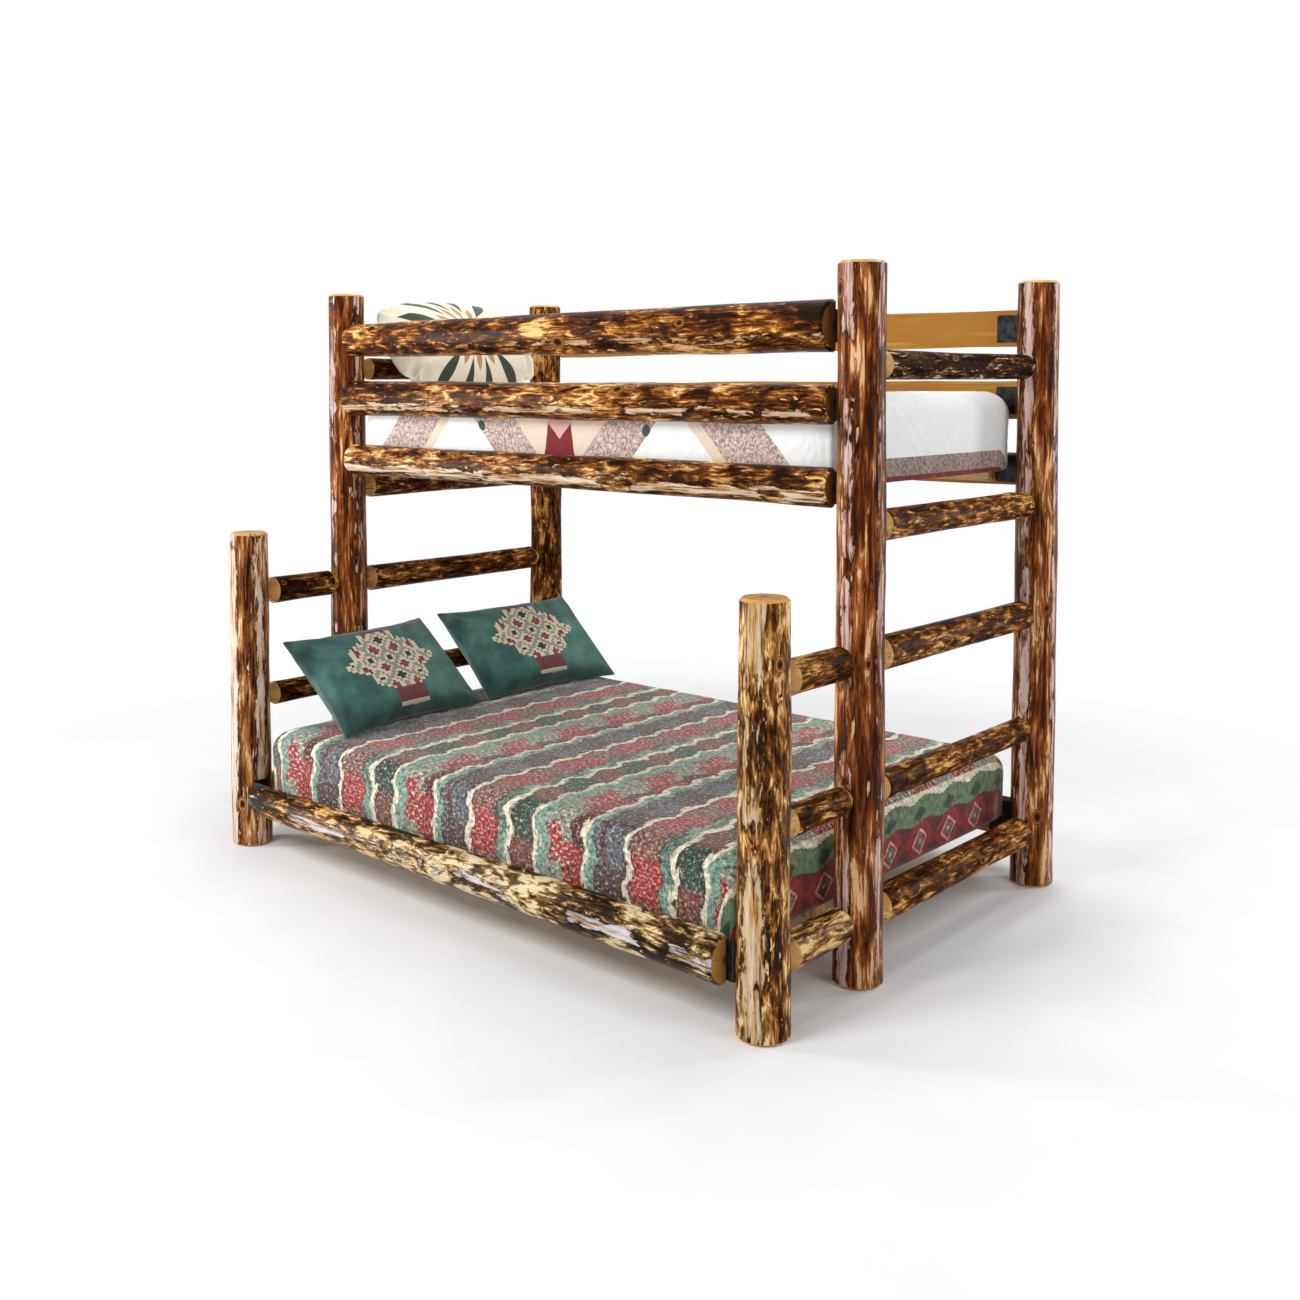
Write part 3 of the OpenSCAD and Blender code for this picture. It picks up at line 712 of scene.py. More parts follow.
@dataclass(frozen=True)
class EndGrain:
    """Sawn end of a log: growth rings round local Z, and drying checks."""

    name: str
    pale: Colour
    dark: Colour
    heart: Colour = (112, 66, 32)
    check: Colour = (48, 26, 14)
    ring_width: float = 4.5 * MM
    wobble: float = 12.0 * MM
    heart_r: tuple[float, float] = (0.026, 0.008)

    def material(self, seed: int) -> bpy.types.Material:
        """The end of one log, whose seed says which stretch of the pattern it has.

        Args:
            seed: Number of the log.

        Returns:
            The material.
        """
        sheet = ShaderSheet(f"{self.name}_{seed}")
        x, y, _ = sheet.local().split()
        bent = sheet.distance(x, y) + sheet.local(seed).noise(22, 3, 0.5) * self.wobble
        ring = (bent / self.ring_width).math("FRACT")
        colour = ring.ramp((0.0, self.pale), (0.7, self.pale), (0.95, self.dark))
        colour = colour.blend(bent.step(*self.heart_r), self.heart)
        spokes = sheet.joined(y.math("ARCTAN2", x) * 3.0, bent, float(seed)).noise(1.6, 3, 0.7)
        split = spokes.near(0.5, 0.012)
        colour = colour.blend(split * 0.8, self.check)
        saw = sheet.grain(seed, (1, 0.05, 1), 500, 1)
        sheet.relief((ring, 0.2), (split, -0.8), (saw, 0.15))
        return sheet.finish(colour, saw.step(-0.7, 1.6), Coat_Weight=0.2, Coat_Roughness=0.15, Specular_IOR_Level=0.2)


@dataclass
class PeeledLog:
    """One log or half log, drawn round its own +Z axis and laid where its CAD node is."""

    node: str
    axis: Axis
    slot: str
    seed: int
    skin: PeeledSkin
    end: EndGrain
    section: Section = Section.WHOLE
    row_step: float = 7.5 * MM
    spokes: int = 60
    lump: float = 1.7 * MM
    facet: float = 1.0 * MM
    crook: float = 2.2 * MM
    saw_mark: float = 0.4 * MM
    lump_size: float = 0.075
    facet_size: float = 0.024
    crook_size: float = 0.45
    saw_size: float = 0.05
    calm: float = 0.35
    knot_gap: float = 0.27
    knot_widths: tuple[float, float] = (0.24, 0.42)
    knot_heights: tuple[float, float] = (1.2, 3.2)
    # Direction about the axis of the pale strips, a painted highlight on the log's lit side.
    highlight_turn: float = math.radians(-93)
    flats: tuple[tuple[float, float], ...] = ()
    flat_out: float = 0.0
    taper: float = 0.08
    no_knot: float = 2.0
    cap_levels: Triple = (0.72, 0.42, 0.16)
    body: str = "frame"

    def centre(self) -> np.ndarray:
        """A point on the log's axis, at its low end.

        Returns:
            The point, in the bed's frame.
        """
        shape = CadShape(self.node)
        centre = (shape.low + shape.high) / 2
        if self.axis is Axis.Z:
            foot = shape.points[shape.points[:, 2] < 0.5 * MM]
            centre[:2] = (foot[:, :2].min(0) + foot[:, :2].max(0)) / 2
        if self.section is not Section.WHOLE:
            centre[1] = shape.high[1] if self.section is Section.HALF_FRONT else shape.low[1]
        centre[self.axis.value] = shape.low[self.axis.value]
        return centre

    def outline(self) -> tuple[np.ndarray, np.ndarray]:
        """The cross-section at radius 1.

        Returns:
            Its points, and whether each lies on the round side.
        """
        if self.section is Section.WHOLE:
            turn = np.linspace(0, 2 * math.pi, self.spokes, endpoint=False)
            return np.stack([np.cos(turn), np.sin(turn)], 1), np.ones(self.spokes, bool)
        half = self.spokes // 2
        turn = np.linspace(math.pi, 2 * math.pi, half + 1)
        arc = np.stack([np.cos(turn), -self.section.value * np.sin(turn)], 1)
        chord = np.linspace(1, -1, half // 2 + 2)[1:-1]
        points = np.concatenate([arc, np.stack([chord, np.zeros(len(chord))], 1)])
        is_round = np.arange(len(points)) <= half
        if self.section is Section.HALF_BACK:
            points, is_round = points[::-1], is_round[::-1]
        return points, is_round

    def stations(self, places: np.ndarray) -> np.ndarray:
        """Places of the mesh's rings along the log, with the CAD profile's own and the flats' edges.

        Args:
            places: Places of the CAD profile's rings.

        Returns:
            The places, from low to high.
        """
        even = np.linspace(0, places[-1], max(8, round(places[-1] / self.row_step)))
        edges = [s + d for pair in self.flats for s, d in zip(pair, (-0.5 * MM, 0.5 * MM))]
        fixed = np.concatenate([places, edges, [s for pair in self.flats for s in pair]])
        clear = even[np.abs(even[:, None] - fixed[None, :]).min(1) > 1.5 * MM]
        return np.unique(np.round(np.concatenate([clear, fixed]), 5))

    def knots(self, length: float, radius: float) -> list[tuple[float, float, float, float]]:
        """Turn, place, width and height of each knot.

        Args:
            length: Length of the log.
            radius: Its usual radius.

        Returns:
            One row of four numbers per knot.
        """
        dice = np.random.default_rng(self.seed)
        count = int(length / self.knot_gap)
        return [(dice.uniform(0, 2 * math.pi), length * (k + dice.uniform(0.2, 0.8)) / count,
                 radius * dice.uniform(*self.knot_widths), dice.uniform(*self.knot_heights) * MM)
                for k in range(count)]

    def surface(self, rows: np.ndarray, radii: np.ndarray, bare: np.ndarray) -> tuple[np.ndarray, np.ndarray]:
        """Points of the log's side with its lumps, drawknife facets, knots and flats.

        Args:
            rows: Place of each ring.
            radii: Radius of each ring.
            bare: Whether each ring lies in a cut taper.

        Returns:
            Rings by spokes by 3 points, and each point's distance to the nearest knot.
        """
        unit, is_round = self.outline()
        points = np.zeros((len(rows), len(unit), 3))
        points[..., :2] = unit[None] * radii[:, None, None]
        points[..., 2] = rows[:, None]
        shape, flat = points.shape[:2], points.reshape(-1, 3)
        lumps = rough_noise(flat * (1, 1, 0.35), self.lump_size, self.seed).reshape(shape)
        facets = rough_noise(flat * (1, 1, 0.10), self.facet_size, self.seed + 5, 2).reshape(shape)
        calm = np.where(bare, self.calm, 1.0)[:, None]
        push = calm * (self.lump * lumps + self.facet * facets)
        knot = np.full(shape, self.no_knot)
        turn = np.arctan2(unit[:, 1], unit[:, 0])[None, :]
        for at_turn, at, width, height in self.knots(rows[-1], float(np.median(radii))):
            around = (turn - at_turn + math.pi) % (2 * math.pi) - math.pi
            away = np.hypot(around * radii[:, None], (rows[:, None] - at) / 1.5) / width + 0.06 * lumps
            push += calm * height * (np.exp(-away**2) - 0.6 * np.exp(-(3.2 * away**2)))
            knot = np.minimum(knot, np.where(bare[:, None], self.no_knot, away))
        saw = self.saw_mark * np.abs(rough_noise(flat * (1, 1, 0.6), self.saw_size, self.seed + 9)).reshape(shape)
        points[..., :2] += np.where(is_round[None, :], push, 0.0)[..., None] * unit[None]
        points[..., 1] += np.where(is_round[None, :], 0.0, self.section.value * saw)
        window = np.sin(math.pi * rows / rows[-1])[:, None]
        line = np.stack([rows, rows * 0, rows * 0], 1)
        for k in (0, 1) if self.section is Section.WHOLE else (0,):
            bow = value_noise(line, self.crook_size, self.seed + 31 + k)[:, None]
            points[..., k] += self.crook * bow * window
        side = math.copysign(1, self.flat_out)
        for low, high in self.flats:
            inside = (rows >= low - HAIR) & (rows <= high + HAIR)
            points[inside, :, 0] = side * np.minimum(side * points[inside, :, 0], abs(self.flat_out))
        return points, np.where(is_round[None, :], knot, self.no_knot)

    def caps(self, side: np.ndarray, radii: np.ndarray) -> tuple[np.ndarray, list[list[int]]]:
        """Closes both ends with rings that shrink to a hub.

        Args:
            side: Points of the side, rings by spokes by 3.
            radii: Radius of each ring.

        Returns:
            The further points, and the faces of both ends.
        """
        count, n = side.shape[:2]
        steps = len(self.cap_levels)
        rings, hubs, faces = [], [], []
        for end, row in enumerate((0, count - 1)):
            hub = np.array([0.0, 0.35 * self.section.value, 0.0]) * radii[row] + (0, 0, side[row, 0, 2])
            rings += [hub + level * (side[row] - hub) for level in self.cap_levels]
            hubs.append(hub)
            loops = [row * n] + [(count + steps * end + k) * n for k in range(steps)]
            tip, order = (count + 2 * steps) * n + end, 1 - 2 * end
            for k in range(n):
                m = (k + 1) % n
                for outer, inner in zip(loops, loops[1:]):
                    faces.append([outer + k, inner + k, inner + m, outer + m][::order])
                faces.append([loops[-1] + k, tip, loops[-1] + m][::order])
        return np.concatenate([*rings, np.array(hubs)]), faces

    def build(self) -> Piece:
        """Makes the log's piece.

        Returns:
            The piece, dressed and riding on its body.
        """
        centre = self.centre()
        places, radii = CadShape(self.node).profile(self.axis, centre, self.section)
        rows = self.stations(places)
        radii = np.interp(rows, places, radii)
        bare = np.abs(np.gradient(radii, rows)) > self.taper
        side, knot = self.surface(rows, radii, bare)
        ends, end_faces = self.caps(side, radii)
        _, is_round = self.outline()
        kinds = np.where(is_round & np.roll(is_round, -1), LogFace.SKIN.value, LogFace.SAWN.value)
        kinds = np.tile(kinds, (len(rows) - 1, 1))
        if self.section is Section.WHOLE:
            kinds[bare[:-1] & bare[1:]] = LogFace.BARE.value
        kinds = np.concatenate([kinds.ravel(), np.full(len(end_faces), LogFace.END.value)])
        faces = grid_faces(len(rows), side.shape[1], closed=True).tolist() + end_faces
        place = Matrix.Translation(Vector(centre)) @ self.axis.turn()
        piece = Piece(self.node + "_log", np.concatenate([side.reshape(-1, 3), ends]), faces, place)
        piece.mark("knot", np.concatenate([knot.ravel(), np.full(len(ends), self.no_knot)]))
        shoulder = SHOULDER.material(self.seed)
        sawn = shoulder if self.section is Section.WHOLE else SAWN_FACE.material(self.seed)
        skin = self.skin.material(self.seed, self.highlight_turn)
        piece.dress([skin, self.end.material(self.seed), sawn, shoulder], kinds)
        return piece.crease(38).join_frame(self.body, self.slot, self.node)


SAWN_FACE = BareWood("sawn_face", (200, 152, 74), (170, 118, 50), (112, 68, 24), gloss=0.2, lines=40.0)
SHOULDER = BareWood("cut_shoulder", (232, 196, 132), (206, 156, 88), (132, 80, 34))
LOG_END = EndGrain("log_end", (198, 144, 74), (128, 78, 32))
# End grain of the rails, darkened as painted shade of the shadowed gap between each rail's end and its post.
SHADED_RAIL_END = EndGrain("shaded_rail_end", (122, 78, 36), (84, 48, 20), (54, 30, 14))
# The pale colours, lilac and white on most skins, are partly peeled wood and partly a painted highlight standing in for
# gloss streaks.
RED_SKIN = PeeledSkin("red_skin", (34, 13, 3), (80, 34, 9), (122, 62, 24), (166, 102, 52), (230, 184, 134),
                      (0.14, 0.30, 0.30, 0.17), scale=38.0, streak=0.15, cuts=0.08, pale=(208, 182, 176), strip=0.015,
                      narrower=0.006, stripped=0.7)
WARM_SKIN = replace(RED_SKIN, name="warm_skin", bark=(106, 55, 22), wood=(156, 98, 52), honey=(200, 148, 96),
                    cream=(240, 208, 166), pale=(228, 204, 186), strip=0.019, stripped=0.85, cuts=0.10)
GOLD_SKIN = PeeledSkin("gold_skin", (34, 15, 4), (92, 48, 15), (146, 92, 40), (200, 142, 74), (240, 210, 154),
                       (0.18, 0.26, 0.24, 0.19), scale=46.0, streak=0.32, cuts=0.10, pale=(208, 186, 152),
                       strip=0.023, narrower=0.03, stripped=0.8)
RAIL_SKIN = PeeledSkin("rail_skin", (22, 12, 4), (56, 36, 15), (104, 74, 38), (160, 124, 74), (222, 202, 162),
                       (0.30, 0.24, 0.18, 0.15), scale=42.0, streak=0.42, cuts=0.08, pale=(200, 196, 200),
                       strip=0.013, narrower=0.05, zones=0.7, golden_end=1.0)
AMBER_SKIN = PeeledSkin("amber_skin", (26, 10, 2), (78, 34, 6), (120, 66, 20), (178, 116, 46), (232, 192, 122),
                        (0.20, 0.28, 0.26, 0.17), scale=42.0, streak=0.34, cuts=0.06, pale=(206, 174, 136),
                        strip=0.007, narrower=0.05, stripped=0.4, zones=0.6, gloss=0.06, shine=0.2)
BED_SKIN = replace(AMBER_SKIN, name="bed_skin", wood=(128, 76, 32), honey=(188, 134, 72), cream=(236, 204, 148),
                   pale=(226, 206, 182), strip=0.015, stripped=0.8)
GUARD_SKIN = replace(BED_SKIN, name="guard_skin", wood=(126, 72, 28), honey=(182, 124, 60), cream=(232, 194, 134),
                     pale=(216, 188, 158), strip=0.009, stripped=0.6)
DARK_SKIN = PeeledSkin("dark_skin", (32, 13, 3), (72, 36, 10), (106, 62, 22), (156, 102, 46), (222, 170, 100),
                       (0.20, 0.28, 0.26, 0.17), scale=46.0, streak=0.36, cuts=0.06, pale=(150, 110, 80),
                       strip=-0.05, narrower=0.05, gloss=0.03, shine=0.04)
BLACK_SKIN = replace(DARK_SKIN, name="black_skin", char=(24, 10, 4), bark=(52, 30, 15), wood=(90, 58, 32),
                     honey=(132, 98, 66), cream=(214, 192, 170), shares=(0.30, 0.28, 0.22, 0.12), cuts=0.04,
                     gloss=0.01, shine=0.02)
HONEY_SKIN = PeeledSkin("honey_skin", (34, 15, 3), (90, 50, 17), (142, 95, 45), (188, 139, 78), (236, 198, 138),
                        (0.19, 0.17, 0.22, 0.22), scale=42.0, streak=0.32, cuts=0.09, pale=(222, 190, 144),
                        strip=0.002, narrower=0.05)


@dataclass
class LogFrame:
    """The posts, rungs and rails."""

    post_skins: tuple[tuple[str, PeeledSkin], ...] = (
        ("front_post_foot", GOLD_SKIN),
        ("middle_post_foot", RED_SKIN),
        ("back_post_foot", RED_SKIN),
        ("front_post_head", WARM_SKIN),
        ("middle_post_head", RED_SKIN),
        ("back_post_head", DARK_SKIN),
    )
    rung_skins: tuple[tuple[str, PeeledSkin], ...] = (
        ("foot_ladder_rung_5", BLACK_SKIN),
        ("foot_step_rung_1", HONEY_SKIN),
    )
    rail_skins: tuple[tuple[str, PeeledSkin], ...] = (
        ("side_rail", RAIL_SKIN),
        ("bed_rail", BED_SKIN),
        ("mid_guard", GUARD_SKIN),
        ("top_guard", AMBER_SKIN),
    )
    post_seed: int = 11
    rung_seed: int = 31
    rail_seed: int = 61
    # Extra turn of the gold post's pale strips, a painted highlight, towards its lit side.
    gold_highlight_turn: float = math.radians(14)
    flats_apart: float = 80 * MM
    least_flat: float = 40 * MM

    def seat_plane(self, end: str) -> float:
        """Place along X of the routed flats at an end of the bed."""
        low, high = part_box("front_upper_brackets")
        return high.x if end == "foot" else low.x

    def bracket_flats(self, node: str, plane: float) -> tuple[tuple[float, float], ...]:
        """Lowest and highest place of each routed flat of a post.

        Args:
            node: Name of the post's node.
            plane: Place of the flats along X.

        Returns:
            One pair per flat.
        """
        points = CadShape(node).points
        heights = np.sort(points[np.abs(points[:, 0] - plane) < HAIR][:, 2])
        groups = np.split(heights, np.where(np.diff(heights) > self.flats_apart)[0] + 1)
        return tuple((float(g[0]), float(g[-1])) for g in groups if g[-1] - g[0] > self.least_flat)

    def posts(self) -> None:
        """Makes the six posts."""
        for seed, (node, skin) in enumerate(self.post_skins, self.post_seed):
            plane = self.seat_plane(node.split("_")[-1])
            log = PeeledLog(node, Axis.Z, "post_wood", seed, skin, LOG_END, flats=self.bracket_flats(node, plane))
            log.flat_out = plane - float(log.centre()[0])
            log.highlight_turn += self.gold_highlight_turn if skin is GOLD_SKIN else 0.0
            log.build()

    def rungs(self) -> None:
        """Makes the rungs of both ends."""
        for seed, node in enumerate(sorted(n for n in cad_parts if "_rung_" in n), self.rung_seed):
            skin = dict(self.rung_skins).get(node, DARK_SKIN)
            PeeledLog(node, Axis.Y, "rung_wood", seed, skin, LOG_END, spokes=40, crook=1.5 * MM, knot_gap=0.2,
                      highlight_turn=math.radians(-24)).build()

    def rails(self) -> None:
        """Makes the half-log rails."""
        sides = (("front", Section.HALF_FRONT), ("back", Section.HALF_BACK))
        pairs = itertools.product(self.rail_skins, sides)
        for seed, ((name, skin), (side, section)) in enumerate(pairs, self.rail_seed):
            # The rails' pale strips are partly a painted highlight and reflection of the floor, set tilt degrees from
            # straight down towards the round side.
            end, tilt = (LOG_END, 94) if name == "side_rail" else (SHADED_RAIL_END, 62)
            PeeledLog(f"{side}_{name}", Axis.X, "rail_wood", seed, skin, end, section, spokes=64,
                      highlight_turn=section.value * math.radians(tilt)).build()

    def build(self) -> None:
        """Makes every log."""
        self.posts()
        self.rungs()
        self.rails()


@dataclass(frozen=True)
class BlackSteel:
    """Blackened plate steel, worn a little and faintly mottled."""

    name: str = "black_steel"
    dark: Colour = (26, 26, 28)
    light: Colour = (58, 57, 58)

    def material(self) -> bpy.types.Material:
        """The steel.

        Returns:
            The material.
        """
        sheet = ShaderSheet(self.name)
        mottle = sheet.local().noise(60, 4, 0.6)
        fine = sheet.local().noise(900, 2, 0.5)
        sheet.relief((mottle, 0.15), (fine, 0.05))
        colour = mottle.ramp((0.35, self.dark), (0.7, self.light))
        return sheet.finish(colour, mottle.step(-0.4, 1.8), Metallic=0.8)


@dataclass(frozen=True)
class PineLumber:
    """Planed pine boards, with grain along one axis of the bed."""

    name: str
    stretch: Triple
    pale: Colour = (236, 208, 156)
    mid: Colour = (222, 182, 122)
    line: Colour = (190, 138, 82)

    def material(self) -> bpy.types.Material:
        """The boards' wood.

        Returns:
            The material.
        """
        sheet = ShaderSheet(self.name)
        place = sheet.local(0.0, self.stretch)
        grain = place.noise(60, 4, 0.6, 0.6)
        fine = place.noise(500, 2, 0.5)
        colour = grain.ramp((0.38, self.line), (0.46, self.mid), (0.6, self.pale))
        colour = colour.shade(sheet.grain(4.0, self.stretch, 7, 1, 0.5), 0.8, 1.15)
        sheet.relief((grain, 0.25), (fine, 0.1))
        return sheet.finish(colour, fine.step(-1.0, 1.6), Coat_Weight=0.15, Coat_Roughness=0.3)


@dataclass
class Fittings:
    """The CAD nodes that stay: brackets, screws, cleats, slats, beam and legs."""

    edge: float = 1.2 * MM

    def dress(self, node: str, slot: str, material: bpy.types.Material) -> None:
        """Gives a CAD node its finish, and eased edges where it is lumber.

        Args:
            node: Name of the node.
            slot: Material slot of the record.
            material: Its finish.
        """
        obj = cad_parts[node]
        obj.data.materials.clear()
        obj.data.materials.append(material)
        if slot == "lumber":
            bevel = obj.modifiers.new("eased_edges", "BEVEL")
            bevel.width = self.edge
            bevel.segments = 2
            bevel.limit_method = "ANGLE"
            bevel.harden_normals = True
        REPORT.info("%s keeps its solid", node)

    def build(self) -> None:
        """Dresses them all."""
        finishes = (
            ("black_steel", BlackSteel(), ("_brackets", "_screws")),
            ("lumber", PineLumber("pine_along", (0.05, 1, 1)), ("_cleat", "centre_beam")),
            ("lumber", PineLumber("pine_across", (1, 0.05, 1)), ("_slats",)),
            ("lumber", PineLumber("pine_upright", (1, 1, 0.05)), ("centre_legs",)),
        )
        for slot, finish, endings in finishes:
            material = finish.material()
            for node in [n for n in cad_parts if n.endswith(endings)]:
                self.dress(node, slot, material)


@dataclass(frozen=True)
class Ticking:
    """Mattress ticking: fine twill with thin woven stripes down the bed."""

    name: str = "ticking"
    ground: Colour = (232, 228, 216)
    stripe: Colour = (120, 134, 150)
    gap: float = 0.032
    stripes: tuple[tuple[float, float], ...] = ((0.4, 0.06), (0.6, 0.03))
    twill: float = 2600.0

    def material(self) -> bpy.types.Material:
        """The ticking.

        Returns:
            The material.
        """
        sheet = ShaderSheet(self.name)
        x, y, z = sheet.local().split()
        across = (y / self.gap).math("FRACT")
        lines = most(*(across.near(*stripe) for stripe in self.stripes))
        twill = ((x + y + z) * self.twill).math("SINE")
        cloudy = sheet.local().noise(9, 3)
        colour = sheet.blend(lines, self.ground, self.stripe).shade(cloudy, 0.85, 1.1)
        sheet.relief((twill, 0.15), (cloudy, 1.0))
        return sheet.finish(colour, twill.step(-12.0, 6.0), Sheen_Weight=0.2)


@dataclass(frozen=True)
class Lozenges:
    """Rows of small lozenges in a band of the blanket."""

    centre: float
    half: float
    gap: float
    rows: float
    tint: Colour

    def lay(self, colour: Field, band: Field, along: Field) -> Field:
        """Lays the lozenges on a cloth.

        Args:
            colour: Colour so far.
            band: Place across the bands, 0 to 1 a repeat.
            along: Place along the bands.

        Returns:
            The new colour.
        """
        t = (band - self.centre) / self.half
        inside = abs(t) < 1.0
        shape = (t * self.rows).fold(1.0) + (along / (self.gap / 2)).fold(1.0)
        dot = most(shape.near(0.0, 0.55), shape.near(2.0, 0.55))
        return colour.blend(dot.step(0.15, 0.35) * inside * 0.85, self.tint)


@dataclass(frozen=True)
class StripedBlanket:
    """Woven camp blanket: wavy cream lines between bands of red, green and slate, with small lozenges."""

    name: str = "striped_blanket"
    cream: Colour = (226, 216, 192)
    sea: Colour = (122, 158, 140)
    deep_sea: Colour = (88, 116, 102)
    sage: Colour = (140, 142, 130)
    brick: Colour = (162, 50, 48)
    faded_brick: Colour = (122, 84, 76)
    pink: Colour = (208, 164, 152)
    rust: Colour = (126, 74, 56)
    slate: Colour = (98, 102, 108)
    plum: Colour = (84, 66, 68)
    forest: Colour = (52, 74, 62)
    wine: Colour = (96, 38, 44)
    shadow: Colour = (56, 42, 38)
    fleece: Colour = (206, 196, 186)
    repeat: float = 0.603
    start: float = 0.555
    wave: float = 0.009
    wave_length: float = 0.12
    weave: float = 0.0042
    shadow_lines: tuple[float, ...] = (0.008, 0.176, 0.279, 0.405, 0.655, 0.717, 0.797, 0.955)
    shadow_width: float = 0.011
    border_wave: float = 0.16
    border_gap: float = 0.08

    def bands(self) -> tuple[tuple[float, Colour, Colour], ...]:
        """Where each band starts in a repeat, and the two colours it has by turns.

        Returns:
            One row of start, first and second colour per band.
        """
        return (
            (0.0, self.brick, self.faded_brick), (0.175, self.sea, self.deep_sea), (0.232, self.cream, self.cream),
            (0.267, self.rust, self.forest), (0.408, self.cream, self.cream), (0.441, self.sea, self.sea),
            (0.51, self.sage, self.brick), (0.66, self.wine, self.brick), (0.722, self.cream, self.cream),
            (0.75, self.sea, self.sea), (0.79, self.slate, self.plum), (0.966, self.cream, self.cream),
        )

    def material(self, foot_edge: float) -> bpy.types.Material:
        """The blanket's cloth.

        Args:
            foot_edge: Flat coordinate along the bed where the foot end's border starts.

        Returns:
            The material.
        """
        sheet = ShaderSheet(self.name)
        place = sheet.stored("cloth")
        u, v, _ = place.split()
        woven_u, woven_v = u.woven(self.weave), v.woven(self.weave)
        ripple = (woven_v * (2 * math.pi / self.wave_length)).math("SINE")
        drift = place.noise(12, 3, 0.6)
        uneven = (place.mapped((1.0, 0.4, 1.0), (3.1, 3.1, 3.1)).noise(60, 3, 0.6) - 0.5) * 0.05
        wavy = woven_u + ripple * self.wave + drift * (self.wave * 4) + uneven
        band = ((wavy + self.start) / self.repeat).math("FRACT")
        swap = self.turns(woven_v, band, drift)
        bands = self.bands()
        colour = sheet.blend(swap, *(band.ramp(*((row[0], row[k]) for row in bands), hard=True) for k in (1, 2)))

        lines = most(*(band.near(at, self.shadow_width) for at in self.shadow_lines))
        colour = colour.blend(lines * 0.75, self.shadow)
        for row in (Lozenges(0.088, 0.07, 0.021, 3.0, self.pink), Lozenges(0.585, 0.06, 0.024, 2.0, self.cream),
                    Lozenges(0.345, 0.035, 0.05, 1.0, self.slate)):
            colour = row.lay(colour, band, woven_v)
        colour = colour.blend(band.near(0.84, 0.022) * swap.step(0.6, 0.4), self.wine)

        yarn = place.noise(420, 2, 0.6)
        heather = place.noise(100, 3, 0.7)
        fuzz = place.noise(55, 3, 0.65)
        plain = band.ramp(*((at, (160,) * 3 if tint == self.cream else (255,) * 3) for at, tint, _ in bands), hard=True)
        for low, high, weight, tint in ((0.53, 0.63, 0.8, self.shadow), (0.46, 0.36, 0.7, self.fleece)):
            colour = colour.blend(heather.step(low, high) * weight * plain, tint)
        border = self.border(woven_u - foot_edge, woven_v)
        colour = colour.blend(u.step(foot_edge - 0.002, foot_edge + 0.002), border)
        colour = colour.shade(yarn, 0.50, 1.40).shade(fuzz, -0.4, 2.45)
        sheet.relief((yarn, 0.9), (fuzz, 2.2))
        return sheet.finish(colour, yarn.step(-9.0, 1.2), Sheen_Weight=0.25, Sheen_Roughness=0.5,
                            Specular_IOR_Level=0.15)

    def turns(self, along: Field, band: Field, drift: Field) -> Field:
        """1 and 0 by turns along a band, for the bands whose colour changes on the way."""
        offset = (band * 5.0).math("FLOOR") * 0.37
        return (along / self.wave_length + (offset + drift)).fold(1.0).step(0.47, 0.53)

    def border(self, down: Field, across: Field) -> Field:
        """The foot end's border: green blotches, then nested lozenges and triangles on red.

        Args:
            down: Place from the border's start down the foot end.
            across: Place across the bed.

        Returns:
            Its colour.
        """
        t = down + (across * (2 * math.pi / self.border_wave)).math("SINE") * 0.007
        colour = (t / 0.3).ramp((0.0, self.cream), (0.05, (102, 124, 94)), (0.26, (142, 46, 42)), (0.64, self.cream),
                                (0.69, self.forest), (0.80, self.slate), hard=True)
        along = (across / self.border_gap).fold(1.0)
        blob = abs((t - 0.055) * 30.0) + along * 1.6
        colour = colour.blend(blob.step(0.75, 0.6), self.forest)
        cross = abs((t - 0.134) / 0.055)
        nest = cross + along * 1.35
        colour = colour.blend(nest > 1.45, colour.blend(cross < 1.0, self.wine))
        rings = nest.ramp((0.0, self.pink), (0.14, (96, 112, 96)), (0.42, self.brick), (0.56, self.pink),
                          (0.72, self.brick), hard=True)
        return colour.blend(nest < 0.72, rings)


